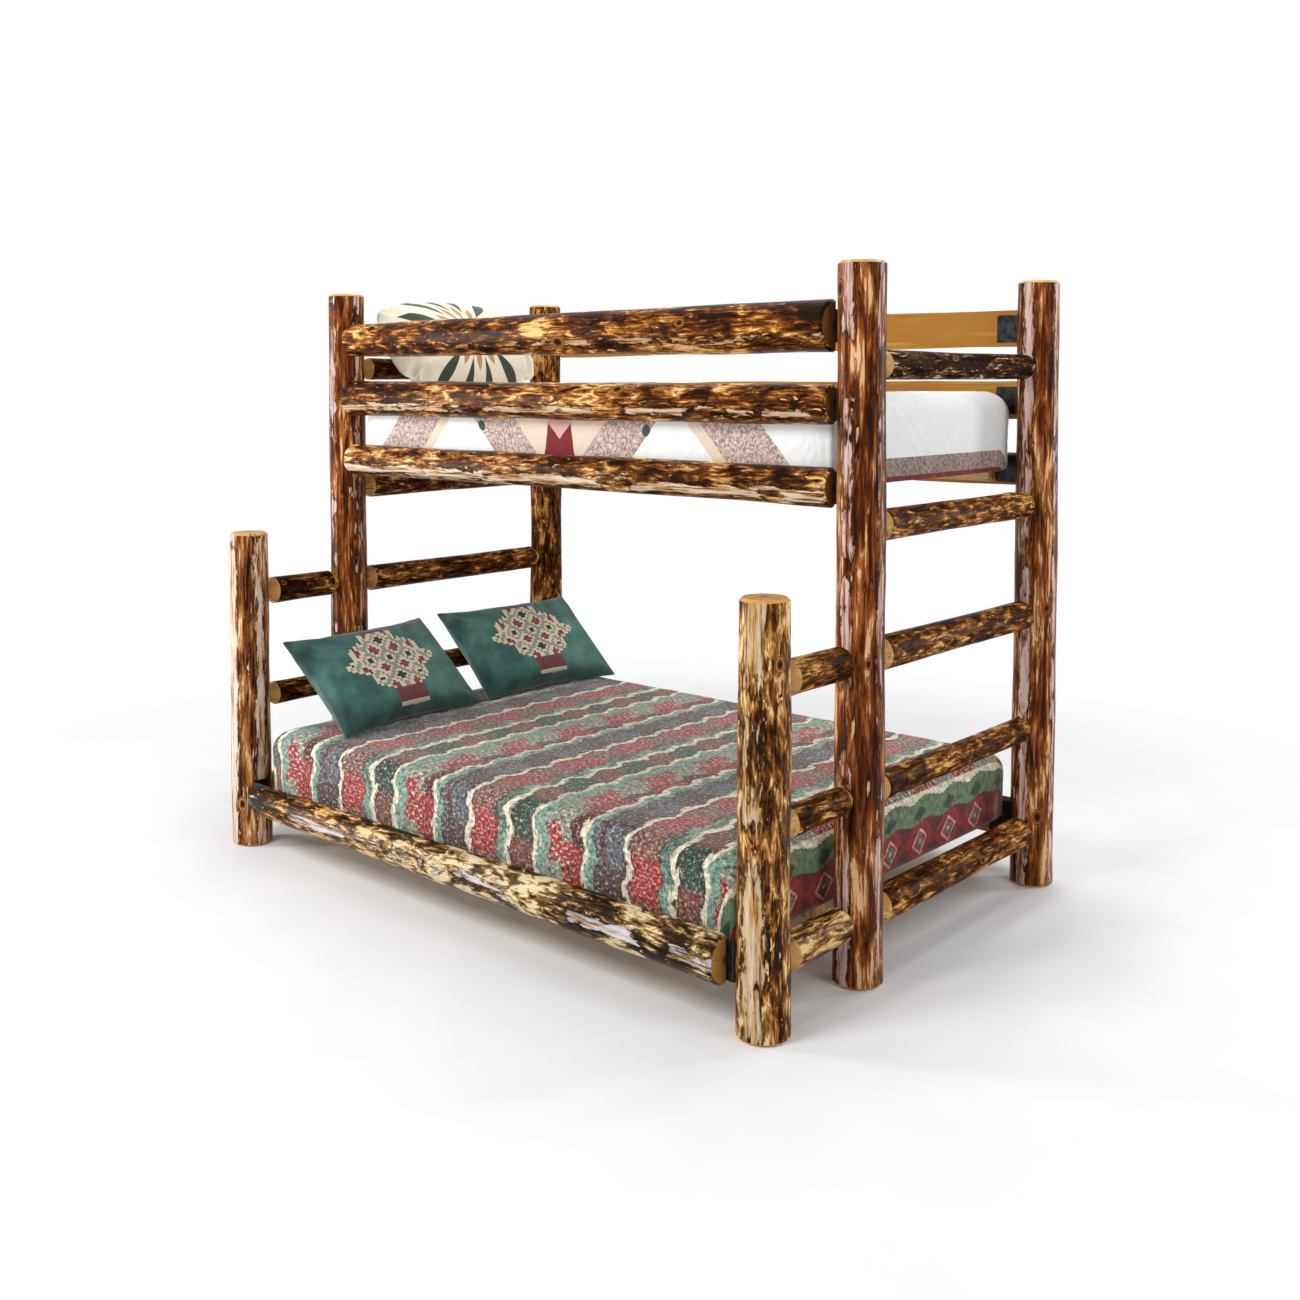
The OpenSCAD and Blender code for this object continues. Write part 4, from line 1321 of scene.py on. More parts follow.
@dataclass(frozen=True)
class PatchworkQuilt:
    """Pieced cotton quilt: white ground with rows of slanted patches of small prints and a bound hem."""

    name: str = "patchwork_quilt"
    white: Colour = (238, 240, 238)
    dusk: Colour = (148, 124, 122)
    print_light: Colour = (188, 167, 163)
    sprig: Colour = (104, 88, 88)
    cream: Colour = (226, 206, 184)
    rose: Colour = (214, 168, 158)
    wine: Colour = (124, 38, 50)
    green: Colour = (66, 80, 70)
    row: float = 0.29
    first_row: float = 0.058
    bind: float = 2.0 * MM
    patch_edges: tuple[float, ...] = (0.125, 0.315, 0.576, 0.836)
    cream_end: float = 0.622
    end_bands: Triple = (0.272, 0.066, 0.015)
    star_half: float = 0.052
    seam: float = 4.0 * MM

    def material(self, foot_hem: float, side_hem: float) -> bpy.types.Material:
        """The quilt's cloth.

        Args:
            foot_hem: Flat coordinate along the bed of the foot end's hem.
            side_hem: Flat coordinate across the bed of the sides' hems.

        Returns:
            The material.
        """
        sheet = ShaderSheet(self.name)
        place = sheet.stored("cloth")
        u, v, _ = place.split()
        rise = (side_hem - self.first_row) - abs(v)
        height = (rise + self.first_row).fold(self.row) * 0.9 - self.star_half
        middle = abs(u + 0.015)
        falling, rising = middle + height, middle - height
        prints = self.print_cloth(place)
        colour = rising.ramp((0.0, self.cream), (0.12, self.rose), (0.145, self.white), hard=True)
        first, second, third, last = self.patch_edges
        for slant, edge, cloth in ((rising, first, prints), (rising, second, self.white), (falling, third, self.cream),
                                   (falling, self.cream_end, prints), (falling, last, self.white)):
            colour = colour.blend(slant > edge, cloth)
        corner = falling.near(0.40, 0.035) * rising.near(0.30, 0.028)
        colour = colour.blend(corner.step(0.2, 0.3), self.green)
        tip = (middle * 0.9 + 0.02).math("MINIMUM", (0.060 - middle) * 5.0)
        star = height < tip
        colour = colour.blend(middle < self.star_half, self.rose).blend(star, self.wine)
        end = foot_hem - u
        for edge, cloth in zip(self.end_bands, (self.white, prints.shade(height, 0.55, 1.4), self.wine)):
            colour = colour.blend(end.step(edge, edge - self.bind), cloth)
        slants = (rising, rising, falling, falling)
        seam = most(*(slant.near(edge, self.seam) for slant, edge in zip(slants, self.patch_edges)))
        weave = place.noise(700, 2, 0.5)
        crumple = place.noise(26, 4, 0.6)
        sheet.relief((crumple, 2.0), (seam, -0.8), (weave, 0.15))
        return sheet.finish(colour.shade(crumple, 0.90, 1.05), weave.step(-7.0, 1.5), Sheen_Weight=0.2,
                            Specular_IOR_Level=0.2)

    def print_cloth(self, place: Field) -> Field:
        """Small-figured print, dusky on a light ground with sprigs of rose and a darker tone.

        Args:
            place: Place in the cloth's flat coordinates.

        Returns:
            The colour.
        """
        figure = place.noise(110, 3, 0.6, 0.8)
        sprig = place.mapped((1, 1, 1), (7.0, 7.0, 7.0)).noise(70, 2, 0.5)
        cloth = figure.ramp((0.40, self.dusk), (0.50, self.print_light), (0.60, self.cream))
        return cloth.blend(sprig.step(0.58, 0.68) * 0.6, self.rose).blend(sprig.step(0.38, 0.30) * 0.5, self.sprig)


@dataclass
class DrapedCover:
    """A cover that lies over a mattress and hangs down its sides."""

    name: str
    node: str
    over: str
    body: str
    slot: str
    hem_foot: float
    hem_rest: float
    thick: float = 5 * MM
    edge_r: float = 0.064
    corner_r: float = 0.028
    spacing: float = 0.013
    skin: float = 1.5 * MM
    sag: float = 3.0 * MM
    ripple: float = 2.5 * MM
    hang_full: float = 0.08
    puff: float = 0.0
    puff_gap: float = 0.055
    square: float = 0.6
    seed: int = 5

    def reach(self, hem: float) -> float:
        """Length of cloth from the level part round the edge and down to a hem at this height."""
        return self.corner_r + self.edge_r * (math.pi / 2 - 1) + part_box(self.node)[1].z - self.skin - hem

    def level_half(self) -> np.ndarray:
        """Half of the level part's length and width."""
        low, high = node_box(self.node)
        return ((high - low) / 2)[:2] - (self.edge_r + self.corner_r + self.skin)

    def lines(self) -> tuple[np.ndarray, np.ndarray]:
        """Flat coordinates of the cloth's grid lines along and across the bed, measured from its middle.

        Returns:
            The lines along the bed, and those across it.
        """
        half_l, half_w = self.level_half()
        foot, rest = self.reach(self.hem_foot), self.reach(self.hem_rest)
        spans = ((-half_l - rest, half_l + foot), (-half_w - rest, half_w + rest))
        return tuple(np.linspace(start, end, round((end - start) / self.spacing)) for start, end in spans)

    def drape(self) -> tuple[np.ndarray, np.ndarray, np.ndarray]:
        """Lays the cloth over its block.

        Returns:
            Points of the surface as a grid, the cloth's own flat coordinates there, and the length hanging.
        """
        half_l, half_w = self.level_half()
        rest = self.reach(self.hem_rest)
        u, v = np.meshgrid(*self.lines(), indexing="ij")
        reach_u = np.where(u > 0, self.reach(self.hem_foot), rest)
        pu, pv = np.maximum(np.abs(u) - half_l, 0) / reach_u, np.maximum(np.abs(v) - half_w, 0) / rest
        most, least = np.maximum(pu, pv), np.minimum(pu, pv)
        bend = math.pi / 4 * least / np.maximum(most, 1e-9)
        turn = np.where(pu >= pv, bend, math.pi / 2 - bend)
        arc = most * (reach_u * np.cos(turn) ** 2 + rest * np.sin(turn) ** 2)
        square = np.maximum(np.cos(turn), np.sin(turn)) ** -self.square
        out = np.stack([np.sign(u) * np.cos(turn) * square, np.sign(v) * np.sin(turn) * square], -1)
        bow = np.clip((arc - self.corner_r) / self.edge_r, 0, math.pi / 2)
        level = np.where(arc < self.corner_r, arc, self.corner_r + self.edge_r * np.sin(bow))
        hang = np.maximum(arc - self.corner_r - self.edge_r * math.pi / 2, 0)
        base = np.stack([np.clip(u, -half_l, half_l), np.clip(v, -half_w, half_w)], -1)
        low, high = node_box(self.node)
        points = np.empty(u.shape + (3,))
        points[..., :2] = base + out * level[..., None] + ((low + high) / 2)[:2]
        points[..., 2] = high[2] - self.skin - (self.edge_r * (1 - np.cos(bow)) + hang)
        flat = np.concatenate([base + out * (arc / square)[..., None], np.zeros(u.shape + (1,))], -1)
        return points, flat, hang

    def relief(self, points: np.ndarray, flat: np.ndarray, hang: np.ndarray) -> np.ndarray:
        """How far each point sinks below the smooth cover: sag, wrinkles, hanging ripples and quilting.

        Args:
            points: The smooth cover, as a grid.
            flat: Flat coordinates of its points.
            hang: Length hanging at each point.

        Returns:
            One depth per point.
        """
        shape = points.shape[:2]
        spots = flat.reshape(-1, 3)
        broad = rough_noise(spots, 0.30, self.seed).reshape(shape)
        fine = rough_noise(spots * (1, 0.6, 1), 0.06, self.seed + 3).reshape(shape)
        ripples = value_noise(points.reshape(-1, 3) * (1, 1, 0.15), 0.07, self.seed + 8).reshape(shape)
        depth = self.sag * (1 - broad) / 2 + self.ripple * (1 - fine) / 2
        depth += np.minimum(hang / self.hang_full, 1) * self.ripple * 1.6 * (1 - ripples) / 2
        if self.puff > 0:
            p, q = (flat[..., 0] + flat[..., 1]) / self.puff_gap, (flat[..., 0] - flat[..., 1]) / self.puff_gap
            depth += self.puff * (1 - np.sqrt(np.abs(np.sin(math.pi * p) * np.sin(math.pi * q))))
        return depth

    def build(self, material: bpy.types.Material) -> Piece:
        """Makes the cover.

        Args:
            material: Its cloth.

        Returns:
            The piece.
        """
        points, flat, hang = self.drape()
        points = points - self.relief(points, flat, hang)[..., None] * grid_normals(points)
        piece = Piece(self.name, points.reshape(-1, 3), grid_faces(*points.shape[:2]))
        piece.mark("cloth", flat.reshape(-1, 3)).dress([material])
        solid = piece.obj.modifiers.new("thickness", "SOLIDIFY")
        solid.thickness = self.thick
        solid.offset = -1
        piece.join_frame(self.body, self.slot, self.node)
        us, vs = self.lines()
        return piece


@dataclass
class Mattress:
    """A mattress with rounded edges, a stitched border and piping."""

    node: str
    body: str
    edge_r: float = 0.056
    corner_r: float = 0.082
    foot_r: float = 0.014
    inset: float = 11.0 * MM
    clear: float = 2.0 * MM
    bulge: float = 3.0 * MM
    piping_r: float = 4.5 * MM
    ring_points: int = 200
    bend_steps: int = 5
    wall_steps: int = 8
    dimple_gap: float = 0.12
    dimple: float = 1.5 * MM
    lift: float = 0.3 * MM
    fill: float = 0.95

    def ring(self, half_l: float, half_w: float, inset: float, z: float) -> np.ndarray:
        """Points of a level rounded rectangle.

        Args:
            half_l: Half of its length.
            half_w: Half of its width.
            inset: How far it is drawn in.
            z: Its height.

        Returns:
            One row per point.
        """
        corner = max(self.corner_r - inset, 4 * MM)
        straight_l, straight_w = half_l - inset - corner, half_w - inset - corner
        sides = np.array([straight_w * 2, straight_l * 2] * 2)
        arc = corner * math.pi / 2
        made = []
        for s in np.linspace(0, sides.sum() + 4 * arc, self.ring_points, endpoint=False):
            quarter = 0
            while quarter < 3 and s >= sides[quarter] + arc:
                s -= sides[quarter] + arc
                quarter += 1
            half = sides[quarter] / 2
            bend = max(s - sides[quarter], 0) / corner
            first = straight_l if quarter % 2 == 0 else straight_w
            x, y = first + corner * math.cos(bend), min(s - half, half) + corner * math.sin(bend)
            for _ in range(quarter):
                x, y = -y, x
            made.append((x, y, z))
        return np.array(made)

    def piping(self, loop: np.ndarray) -> np.ndarray:
        """Points of a closed tube along a level loop, one loop after the other.

        Args:
            loop: Points of the loop.

        Returns:
            One row per point.
        """
        ahead = np.roll(loop, -1, 0) - np.roll(loop, 1, 0)
        out = np.stack([ahead[:, 1], -ahead[:, 0], 0 * ahead[:, 0]], 1)
        out /= np.linalg.norm(out, axis=1, keepdims=True)
        turns = np.linspace(0, 2 * math.pi, 8, endpoint=False)
        up = np.array([0.0, 0.0, 1.0])
        return np.concatenate([loop + self.piping_r * (out * math.cos(t) + up * math.sin(t)) for t in turns])

    def side(self, bottom: float, top: float, half_w: float) -> list[tuple[float, float]]:
        """Inset and height of each ring, from the middle of the underside round to the middle of the top.

        Args:
            bottom: Height of the underside.
            top: Height of the top.
            half_w: Half of the mattress's width.

        Returns:
            One pair per ring.
        """
        bends = np.radians(np.linspace(0, 90, self.bend_steps + 1))[1:]
        middle = half_w - self.corner_r
        rings = [(middle, bottom), (self.foot_r, bottom)]
        rings += [(self.foot_r * (1 - math.sin(b)), bottom + self.foot_r * (1 - math.cos(b))) for b in bends]
        walls = np.linspace(bottom + self.foot_r, top - self.edge_r, self.wall_steps + 1)[1:]
        for k, z in enumerate(walls, 1):
            rings.append((self.clear - self.bulge * math.sin(math.pi * k / self.wall_steps), z))
        rings += [(self.edge_r * (1 - math.cos(b)) + self.clear, top - self.edge_r * (1 - math.sin(b))) for b in bends]
        return rings + [(middle, top)]

    def build(self, material: bpy.types.Material) -> Piece:
        """Makes the mattress.

        Args:
            material: Its ticking.

        Returns:
            The piece.
        """
        low, high = node_box(self.node)
        half_l, half_w = ((high - low) / 2)[:2] - self.clear
        top, bottom = high[2] - self.inset, low[2] + self.lift
        rings = self.side(bottom, top, half_w)
        points = np.stack([self.ring(half_l, half_w, inset, z) for inset, z in rings])
        wave = np.prod(np.cos(2 * math.pi * points[..., :2] / self.dimple_gap), axis=2)
        wall = np.zeros(len(rings))
        first_wall = 2 + self.bend_steps
        wall[first_wall:first_wall + self.wall_steps] = 1
        outward = points[..., :2] / np.maximum(np.abs(points[..., :2]).max(axis=2, keepdims=True), 1e-6)
        points[..., :2] -= outward * (self.dimple * wall[:, None] * (1 - wave))[..., None]
        n = self.ring_points
        faces = grid_faces(len(rings), n, closed=True).tolist()
        faces += [list(range(n))[::-1], [(len(rings) - 1) * n + k for k in range(n)]]
        parts, total = [points.reshape(-1, 3)], len(rings) * n
        for z in (bottom + self.foot_r, top - self.edge_r):
            tube = self.piping(self.ring(half_l, half_w, 0.0, z))
            parts.append(tube)
            faces += (grid_faces(len(tube) // n + 1, n, closed=True) % len(tube) + total).tolist()
            total += len(tube)
        middle = (low + high) / 2
        place = Matrix.Translation(Vector((middle[0], middle[1], 0)))
        piece = Piece(self.node + "_pad", np.concatenate(parts), faces, place).dress([material]).crease(50)
        piece.join_frame(self.body, "ticking", self.node)
        return piece


@dataclass(frozen=True)
class TealCushion:
    """Teal woven wool with a stepped medallion."""

    name: str = "teal_cushion"
    ground: Colour = (46, 94, 88)
    deep: Colour = (24, 56, 56)
    light: Colour = (78, 128, 116)
    cream: Colour = (206, 198, 172)
    grey: Colour = (140, 138, 128)
    brick: Colour = (150, 44, 50)
    wine: Colour = (98, 42, 48)
    black: Colour = (24, 28, 30)
    dusk: Colour = (60, 52, 50)
    cell: float = 0.0085
    figure: float = 0.80
    medallion: float = 0.132
    medallion_half: float = 0.098
    scallop: float = 0.030
    lattice: float = 0.0315
    foot: Triple = (-0.152, -0.142, -0.098)
    foot_half: float = 0.048
    tip: float = 0.108
    tip_half: float = 0.036
    dusk_band: tuple[float, float] = (0.185, 0.240)
    half_size: tuple[float, float] = (0.325, 0.225)

    def material(self) -> bpy.types.Material:
        """The cushion's cloth.

        Returns:
            The material.
        """
        sheet = ShaderSheet(self.name)
        place = sheet.stored("cloth")
        x, y, z = place.split()
        qx = (abs(x) * self.figure).woven(self.cell)
        qy = ((y - 0.012) * self.figure).woven(self.cell)
        cloudy = place.noise(9, 3, 0.55)
        colour = cloudy.ramp((0.3, self.deep), (0.52, self.ground), (0.75, self.light))
        edge = (self.medallion - abs(qy)) + (qy + 1.0).fold(self.scallop) - qx
        inside = (edge > 0.0) * (abs(qy) < self.medallion_half)
        nest = (qy + 1.003).fold(self.lattice) + qx.fold(self.lattice)
        motif = (nest * 10.0).ramp((0.0, self.black), (0.10, self.cream), (0.20, self.grey), (0.33, self.cream),
                                   (0.45, self.wine), (0.53, self.brick), hard=True)
        motif = motif.blend(edge < 0.011, self.cream)
        low, seam, top = self.foot
        bars = sheet.blend(qy.between(low, seam), self.wine, self.cream)
        figured = z > 0.0
        for share, tint in ((inside, motif), ((qx < self.foot_half) * qy.between(low, top), bars),
                            ((qx < self.tip_half) * qy.between(self.medallion_half, self.tip), self.wine)):
            colour = colour.blend(share * figured, tint)
        colour = colour.blend(y.between(*self.dusk_band) * 0.5, self.dusk)
        yarn = place.noise(520, 2, 0.6)
        # Painted shade: the cloth darkens towards its seams, where its crowned face turns away from the light.
        inner = [abs(t).step(half, half - 0.11) for t, half in zip((x, y), self.half_size)]
        colour = colour.shade(yarn, 0.70, 1.25).shade(inner[0] * inner[1], 0.50, 1.12)
        sheet.relief((yarn, 0.5), (place.noise(40, 3), 1.2), (place.noise(11, 3), 5.0))
        return sheet.finish(colour, yarn.step(-8.0, 1.2), Sheen_Weight=0.3)


@dataclass(frozen=True)
class RayedPillow:
    """Cream cotton sham with pointed dark-green rays and small tan ones between them."""

    name: str = "rayed_pillow"
    ground: Colour = (232, 226, 204)
    green: Colour = (46, 58, 44)
    tan: Colour = (178, 138, 92)
    rust: Colour = (140, 74, 50)
    rays: int = 12
    long_ray: Triple = (0.10, 0.30, 0.20)
    short_ray: Triple = (0.05, 0.15, 0.24)
    hub: tuple[float, float] = (0.052, 0.048)
    eye: tuple[float, float] = (0.030, 0.027)

    def material(self) -> bpy.types.Material:
        """The sham's cloth.

        Returns:
            The material.
        """
        sheet = ShaderSheet(self.name)
        place = sheet.stored("cloth")
        x, y, _ = place.split()
        out = sheet.distance(x, y)
        turn = y.math("ARCTAN2", x) / (2 * math.pi / self.rays)
        short, long = self.ray(out, turn + 0.5, *self.short_ray), self.ray(out, turn, *self.long_ray)
        colour = sheet.blend(short, self.ground, self.tan).blend(long, self.green)
        colour = colour.blend(out.step(*self.hub), self.rust).blend(out.step(*self.eye), self.ground)
        weave = place.noise(600, 2, 0.5)
        sheet.relief((weave, 0.2), (place.noise(30, 3), 1.5))
        return sheet.finish(colour.shade(weave, 0.86, 1.10), weave.step(-7.0, 1.5), Sheen_Weight=0.2)

    def ray(self, out: Field, turn: Field, near: float, far: float, width: float) -> Field:
        """One set of rays that taper to both ends.

        Args:
            out: Distance from the middle.
            turn: Turn about the middle, one ray to each whole number.
            near: Distance at which they begin.
            far: Distance at which they end.
            width: Their width, as a share of their gap.

        Returns:
            1 inside the rays, 0 elsewhere.
        """
        share = (out - near) / (far - near)
        swell = (share * math.pi).math("SINE") * width
        return (swell - abs(turn.math("FRACT") - 0.5)).step(0.0, 0.02) * share.between(0.0, 1.0)


@dataclass
class StuffedPiece:
    """A cushion or pillow: two sheets sewn round their rim, blown up as cloth and set where its solid is."""

    node: str
    slot: str
    cell: float = 0.012
    start_dome: float = 8 * MM
    pressure: float = 1.5
    frames: int = 40
    plump: float = 0.78
    fill: float = 0.7
    round_corners: float = 0.0
    draw_in: float = 0.03
    wrinkle: float = 1.4 * MM
    crease: float = 2.6 * MM
    folds: float = 15
    fan_out: float = 0.08
    fan_width: float = 0.055
    slack: float = 1.06
    settle: float = 12 * MM
    seed: int = 3

    def sheets(self, size: np.ndarray) -> tuple[np.ndarray, np.ndarray, np.ndarray]:
        """The two flat sheets, joined round their rim.

        Args:
            size: Width and height of the flat sheets.

        Returns:
            Points, faces, and whether each point is on the rim.
        """
        cols, rows = (max(8, int(round(s / self.cell))) + 1 for s in size[:2])
        x, y = np.meshgrid(np.linspace(-0.5, 0.5, cols) * size[0], np.linspace(-0.5, 0.5, rows) * size[1])
        inner = np.zeros((rows, cols), bool)
        inner[1:-1, 1:-1] = True
        inner = inner.ravel()
        dome = self.start_dome * (1 - (2 * x / size[0]) ** 2) * (1 - (2 * y / size[1]) ** 2)
        pull = 1 - self.round_corners * (4 * x * y / (size[0] * size[1])) ** 2
        waist_x, waist_y = (1 - self.draw_in * (1 - (2 * t / s) ** 2) for t, s in ((y, size[1]), (x, size[0])))
        x, y = x * pull * waist_x, y * pull * waist_y
        front, back = (np.stack([x, y, side * dome], -1).reshape(-1, 3) for side in (1, -1))
        under = np.arange(rows * cols)
        under[inner] = rows * cols + np.arange(inner.sum())
        quads = grid_faces(rows, cols)
        faces = np.concatenate([quads, under[quads][:, ::-1]])
        return np.concatenate([front, back[inner]]), faces, np.concatenate([~inner, np.zeros(inner.sum(), bool)])

    def blow_up(self, points: np.ndarray, faces: np.ndarray, thick: float) -> np.ndarray:
        """Simulates the sheets as cloth under pressure, until they are as full as asked.

        Args:
            points: Points of the flat sheets.
            faces: Their faces.
            thick: Thickness to stop at.

        Returns:
            Points of the full piece.
        """
        trial = Piece(self.node + "_trial", points, faces).obj
        cloth = trial.modifiers.new("stuffing", "CLOTH")
        settings = cloth.settings
        settings.quality = 6
        settings.mass = 0.25
        settings.tension_stiffness = settings.compression_stiffness = 18
        settings.bending_stiffness = 0.4
        settings.use_pressure = True
        settings.uniform_pressure_force = self.pressure
        settings.effector_weights.gravity = 0
        cloth.point_cache.frame_end = self.frames
        flat = np.zeros(len(points) * 3, np.float32)
        for k in range(1, self.frames + 1):
            bpy.context.scene.frame_set(k)
            trial.evaluated_get(bpy.context.evaluated_depsgraph_get()).data.vertices.foreach_get("co", flat)
            if np.ptp(flat[2::3]) > thick:
                break
        bpy.context.scene.frame_set(1)
        bpy.data.objects.remove(trial)
        return flat.reshape(-1, 3).astype(float)

    def plain(self, points: np.ndarray, size: np.ndarray) -> np.ndarray:
        """A quick stand-in for the simulation, with the same crown and drawn-in sides.

        Args:
            points: Points of the flat sheets.
            size: Width, height and thickness of the piece.

        Returns:
            Points of the full piece.
        """
        u, v = 2 * points[:, 0] / size[0], 2 * points[:, 1] / size[1]
        crown = np.sqrt(np.maximum((1 - u * u) * (1 - v * v), 0)) * size[2] / 2
        waist = [1 - 0.06 * (1 - t * t) for t in (v, u)]
        return np.stack([points[:, 0] * waist[0], points[:, 1] * waist[1], np.sign(points[:, 2]) * crown], 1)

    def creases(self, points: np.ndarray, size: np.ndarray) -> np.ndarray:
        """Folds that fan out of the four corners, from -1 to 1.

        Args:
            points: Points of the full piece.
            size: Width, height and thickness of the piece.

        Returns:
            One number per point.
        """
        made = np.zeros(len(points))
        for corner in itertools.product((-1, 1), repeat=2):
            inward = size[:2] / 2 - points[:, :2] * corner
            turn = np.arctan2(inward[:, 1], inward[:, 0])
            fan = np.sin(self.folds * turn + corner[0] + 2 * corner[1] + self.seed)
            made += fan * np.exp(-(((np.hypot(*inward.T) - self.fan_out) / self.fan_width) ** 2))
        return made

    def build(self, material: bpy.types.Material) -> Piece:
        """Makes the piece.

        Args:
            material: Its cloth.

        Returns:
            The piece.
        """
        shape = CadShape(self.node)
        axes = shape.own_axes()
        turned = np.array(axes.inverted())
        local = shape.points @ turned[:3, :3].T + turned[:3, 3]
        size = local.max(0) - local.min(0)
        points, faces, rim = self.sheets(size * self.slack)
        points = self.blow_up(points, faces, self.plump * size[2])
        points -= (points.max(0) + points.min(0)) / 2
        points *= (size - 2 * MM) / (points.max(0) - points.min(0))
        wrinkle = rough_noise(points * (1, 1, 0.4), 0.05, self.seed)
        relief = self.wrinkle * wrinkle + self.crease * self.creases(points, size)
        points[:, 2] += np.where(rim, 0, relief * np.sign(points[:, 2]))
        world = points @ np.array(axes)[:3, :3].T + np.array(axes)[:3, 3]
        level = shape.low[2] + 0.4 * MM + self.settle
        sunk = np.maximum(level - world[:, 2], 0)
        flattened = level - self.settle * (1 - np.exp(-sunk / self.settle))
        world[:, 2] = np.where(sunk > 0, flattened, world[:, 2])
        piece = Piece(self.node + "_stuffed", world, faces).dress([material]).mark("cloth", points)
        soft = piece.obj.modifiers.new("smooth", "SUBSURF")
        soft.levels = soft.render_levels = 1
        piece.join_frame(self.node, self.slot, self.node)
        return piece


@dataclass
class Bedding:
    """Both mattresses with their covers, the two cushions and the pillow."""

    border_down: float = 0.9
    quilt_spacing: float = 9.5 * MM
    quilt_puff: float = 2.4 * MM
    quilt_seed: int = 9
    pillow_fill: float = 0.8
    pillow_corners: float = 0.2

    def lower(self) -> None:
        """Makes the bedding of the lower bed."""
        Mattress("lower_mattress", "lower_bedding").build(Ticking().material())
        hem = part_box("blanket")[0].z
        cover = DrapedCover("blanket_cover", "blanket", "lower_mattress_pad", "lower_bedding", "blanket_cloth",
                            hem, hem)
        border = cover.level_half()[0] + cover.corner_r + cover.edge_r * self.border_down
        cover.build(StripedBlanket().material(border))
        cloth = TealCushion().material()
        for node in ("front_cushion", "back_cushion"):
            StuffedPiece(node, "cushion_cloth", seed=len(node)).build(cloth)

    def upper(self) -> None:
        """Makes the bedding of the bunk."""
        Mattress("upper_mattress", "upper_bedding").build(Ticking("bunk_ticking").material())
        cover = DrapedCover("quilt_cover", "quilt", "upper_mattress_pad", "upper_bedding", "quilt_cloth",
                            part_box("quilt")[0].z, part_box("upper_mattress")[0].z, spacing=self.quilt_spacing,
                            puff=self.quilt_puff, seed=self.quilt_seed)
        us, vs = cover.lines()
        cover.build(PatchworkQuilt().material(float(us[-1]), float(vs[-1])))
        pillow = StuffedPiece("pillow", "pillow_cloth", fill=self.pillow_fill, round_corners=self.pillow_corners)
        pillow.build(RayedPillow().material())


@dataclass(frozen=True)
class Lamp:
    """A soft lamp panel that looks at the bed."""

    name: str
    at: Triple
    power: float
    width: float
    height: float
    aim: Triple = (0, 0, 0.8)

    def build(self) -> None:
        """Hangs the lamp."""
        data = bpy.data.lights.new(self.name, "AREA")
        data.energy = self.power
        data.shape = "RECTANGLE"
        data.size, data.size_y = self.width, self.height
        obj = bpy.data.objects.new(self.name, data)
        obj.location = self.at
        obj.rotation_euler = (Vector(self.aim) - Vector(self.at)).to_track_quat("-Z", "Y").to_euler()
        bpy.context.scene.collection.objects.link(obj)


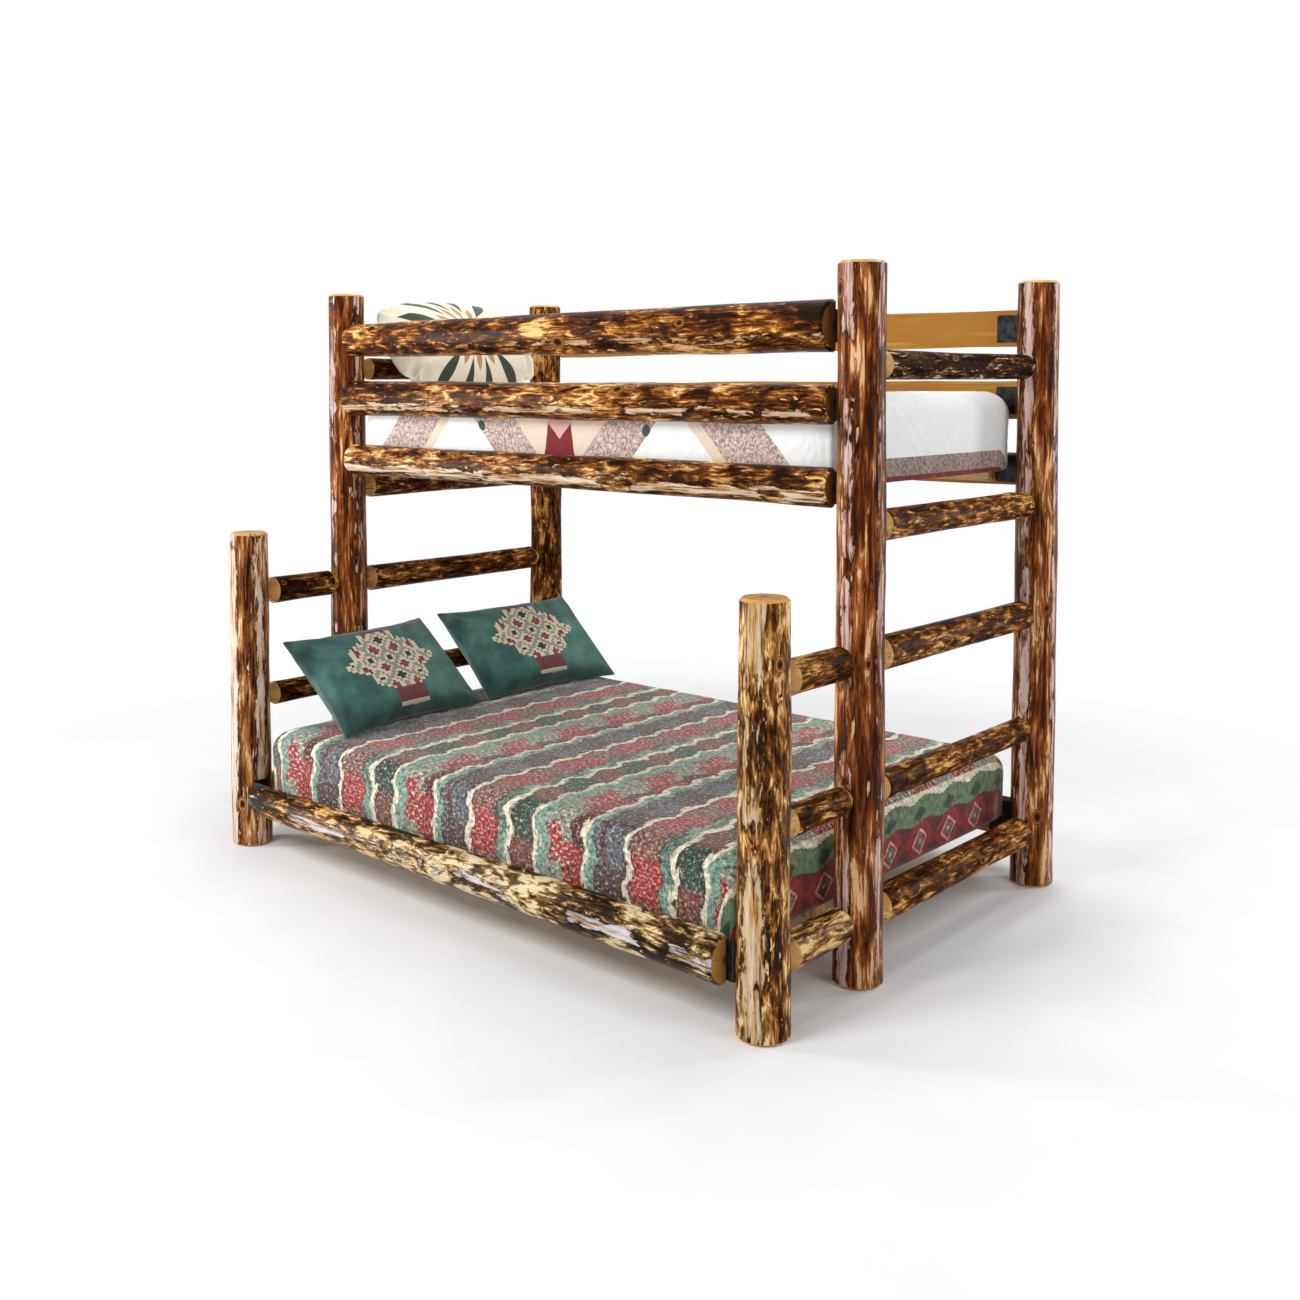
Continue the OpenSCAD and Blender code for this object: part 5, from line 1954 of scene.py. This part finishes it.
@dataclass
class Studio:
    """A pale floor, soft lamps and the camera at the picture's viewing angle."""

    camera_at: Triple = (3.0351, -3.3229, 1.5485)
    turn: float = 41.41
    pitch: float = 2.81
    lens: float = 39.13
    shift_y: float = -0.1538
    floor_r: float = 14.0
    floor_spokes: int = 64
    floor_colour: Colour = (240, 240, 241)
    floor_worn: Colour = (235, 235, 237)
    fade: tuple[float, float] = (1.7, 3.4)
    world_light: float = 0.27
    world_colour: tuple[float, ...] = (0.94, 0.97, 1.0, 1)
    white: tuple[float, ...] = (1, 1, 1, 1)
    lamps: tuple[Lamp, ...] = (
        Lamp("key_lamp", (-0.4, -4.8, 4.4), 205, 2.2, 2.2),
        Lamp("side_lamp", (4.8, -0.6, 3.0), 55, 1.8, 1.8),
        Lamp("top_lamp", (0.2, 1.8, 5.0), 135, 3.0, 3.0),
        Lamp("left_lamp", (-3.2, -2.8, 1.6), 95, 0.8, 3.2),
        Lamp("rim_lamp", (3.0, 3.2, 1.8), 50, 0.6, 3.0),
    )

    def camera(self) -> None:
        """Makes the camera."""
        data = bpy.data.cameras.new("camera")
        data.lens = self.lens
        data.sensor_width = 36.0
        data.shift_y = self.shift_y
        data.clip_end = 100
        obj = bpy.data.objects.new("camera", data)
        obj.location = self.camera_at
        obj.rotation_euler = (math.radians(90 - self.pitch), 0, math.radians(self.turn))
        bpy.context.scene.collection.objects.link(obj)
        bpy.context.scene.camera = obj

    def floor(self) -> None:
        """Makes the floor: a disc that fades into the white round it."""
        n = self.floor_spokes
        turns = np.linspace(0, 2 * math.pi, n, endpoint=False)
        rings = [self.floor_r * f for f in (0.1, 0.25, 0.5, 1.0)]
        circles = [np.stack([r * np.cos(turns), r * np.sin(turns), 0 * turns], 1) for r in rings]
        faces = [[0, 1 + k, 1 + (k + 1) % n] for k in range(n)]
        faces += (grid_faces(len(rings), n, closed=True) + 1)[:, ::-1].tolist()
        disc = Piece("floor", np.concatenate([[[0, 0, 0]]] + circles), faces)
        sheet = ShaderSheet("pale_floor")
        x, y, _ = sheet.local().split()
        glow = sheet.read("Emission", {"Color": self.white, "Strength": 1.0})
        fade = sheet.distance(x, y).step(*self.fade) * sheet.seen()
        tone = sheet.local().noise(3, 3).ramp((0.3, self.floor_colour), (0.7, self.floor_worn))
        sheet.finish(tone, sheet.local().noise(200, 2).step(-3.0, 1.5))
        mixed = sheet.read("MixShader", {0: fade, 1: Field(sheet, sheet.shader.outputs[0]), 2: glow})
        sheet.tree.links.new(mixed.socket, sheet.tree.nodes["Material Output"].inputs["Surface"])
        disc.dress([sheet.material])

    def world(self) -> None:
        """Lights the bed evenly from all round, and shows white to the camera, in gloss and through glass."""
        world = bpy.data.worlds.new("studio")
        bpy.context.scene.world = world
        world.use_nodes = True
        world.node_tree.nodes.clear()
        graph = Graph(world.node_tree)
        lit = graph.read("Background", {"Color": self.world_colour, "Strength": self.world_light})
        shown = graph.read("Background", {"Color": self.white, "Strength": 1.0})
        graph.add("OutputWorld", {"Surface": graph.read("MixShader", {0: graph.seen(), 1: lit, 2: shown})})

    def build(self) -> None:
        """Makes the whole studio."""
        bpy.context.scene.view_settings.view_transform = "Standard"
        self.camera()
        self.floor()
        self.world()
        for lamp in self.lamps:
            lamp.build()


def main() -> None:
    """Builds the bed's looks, sub-assembly by sub-assembly."""
    logging.basicConfig(level=logging.INFO, format="%(name)s: %(message)s")
    LogFrame().build()
    Fittings().build()
    bedding = Bedding()
    bedding.lower()
    bedding.upper()
    Studio().build()


if __name__ == "__main__":
    main()
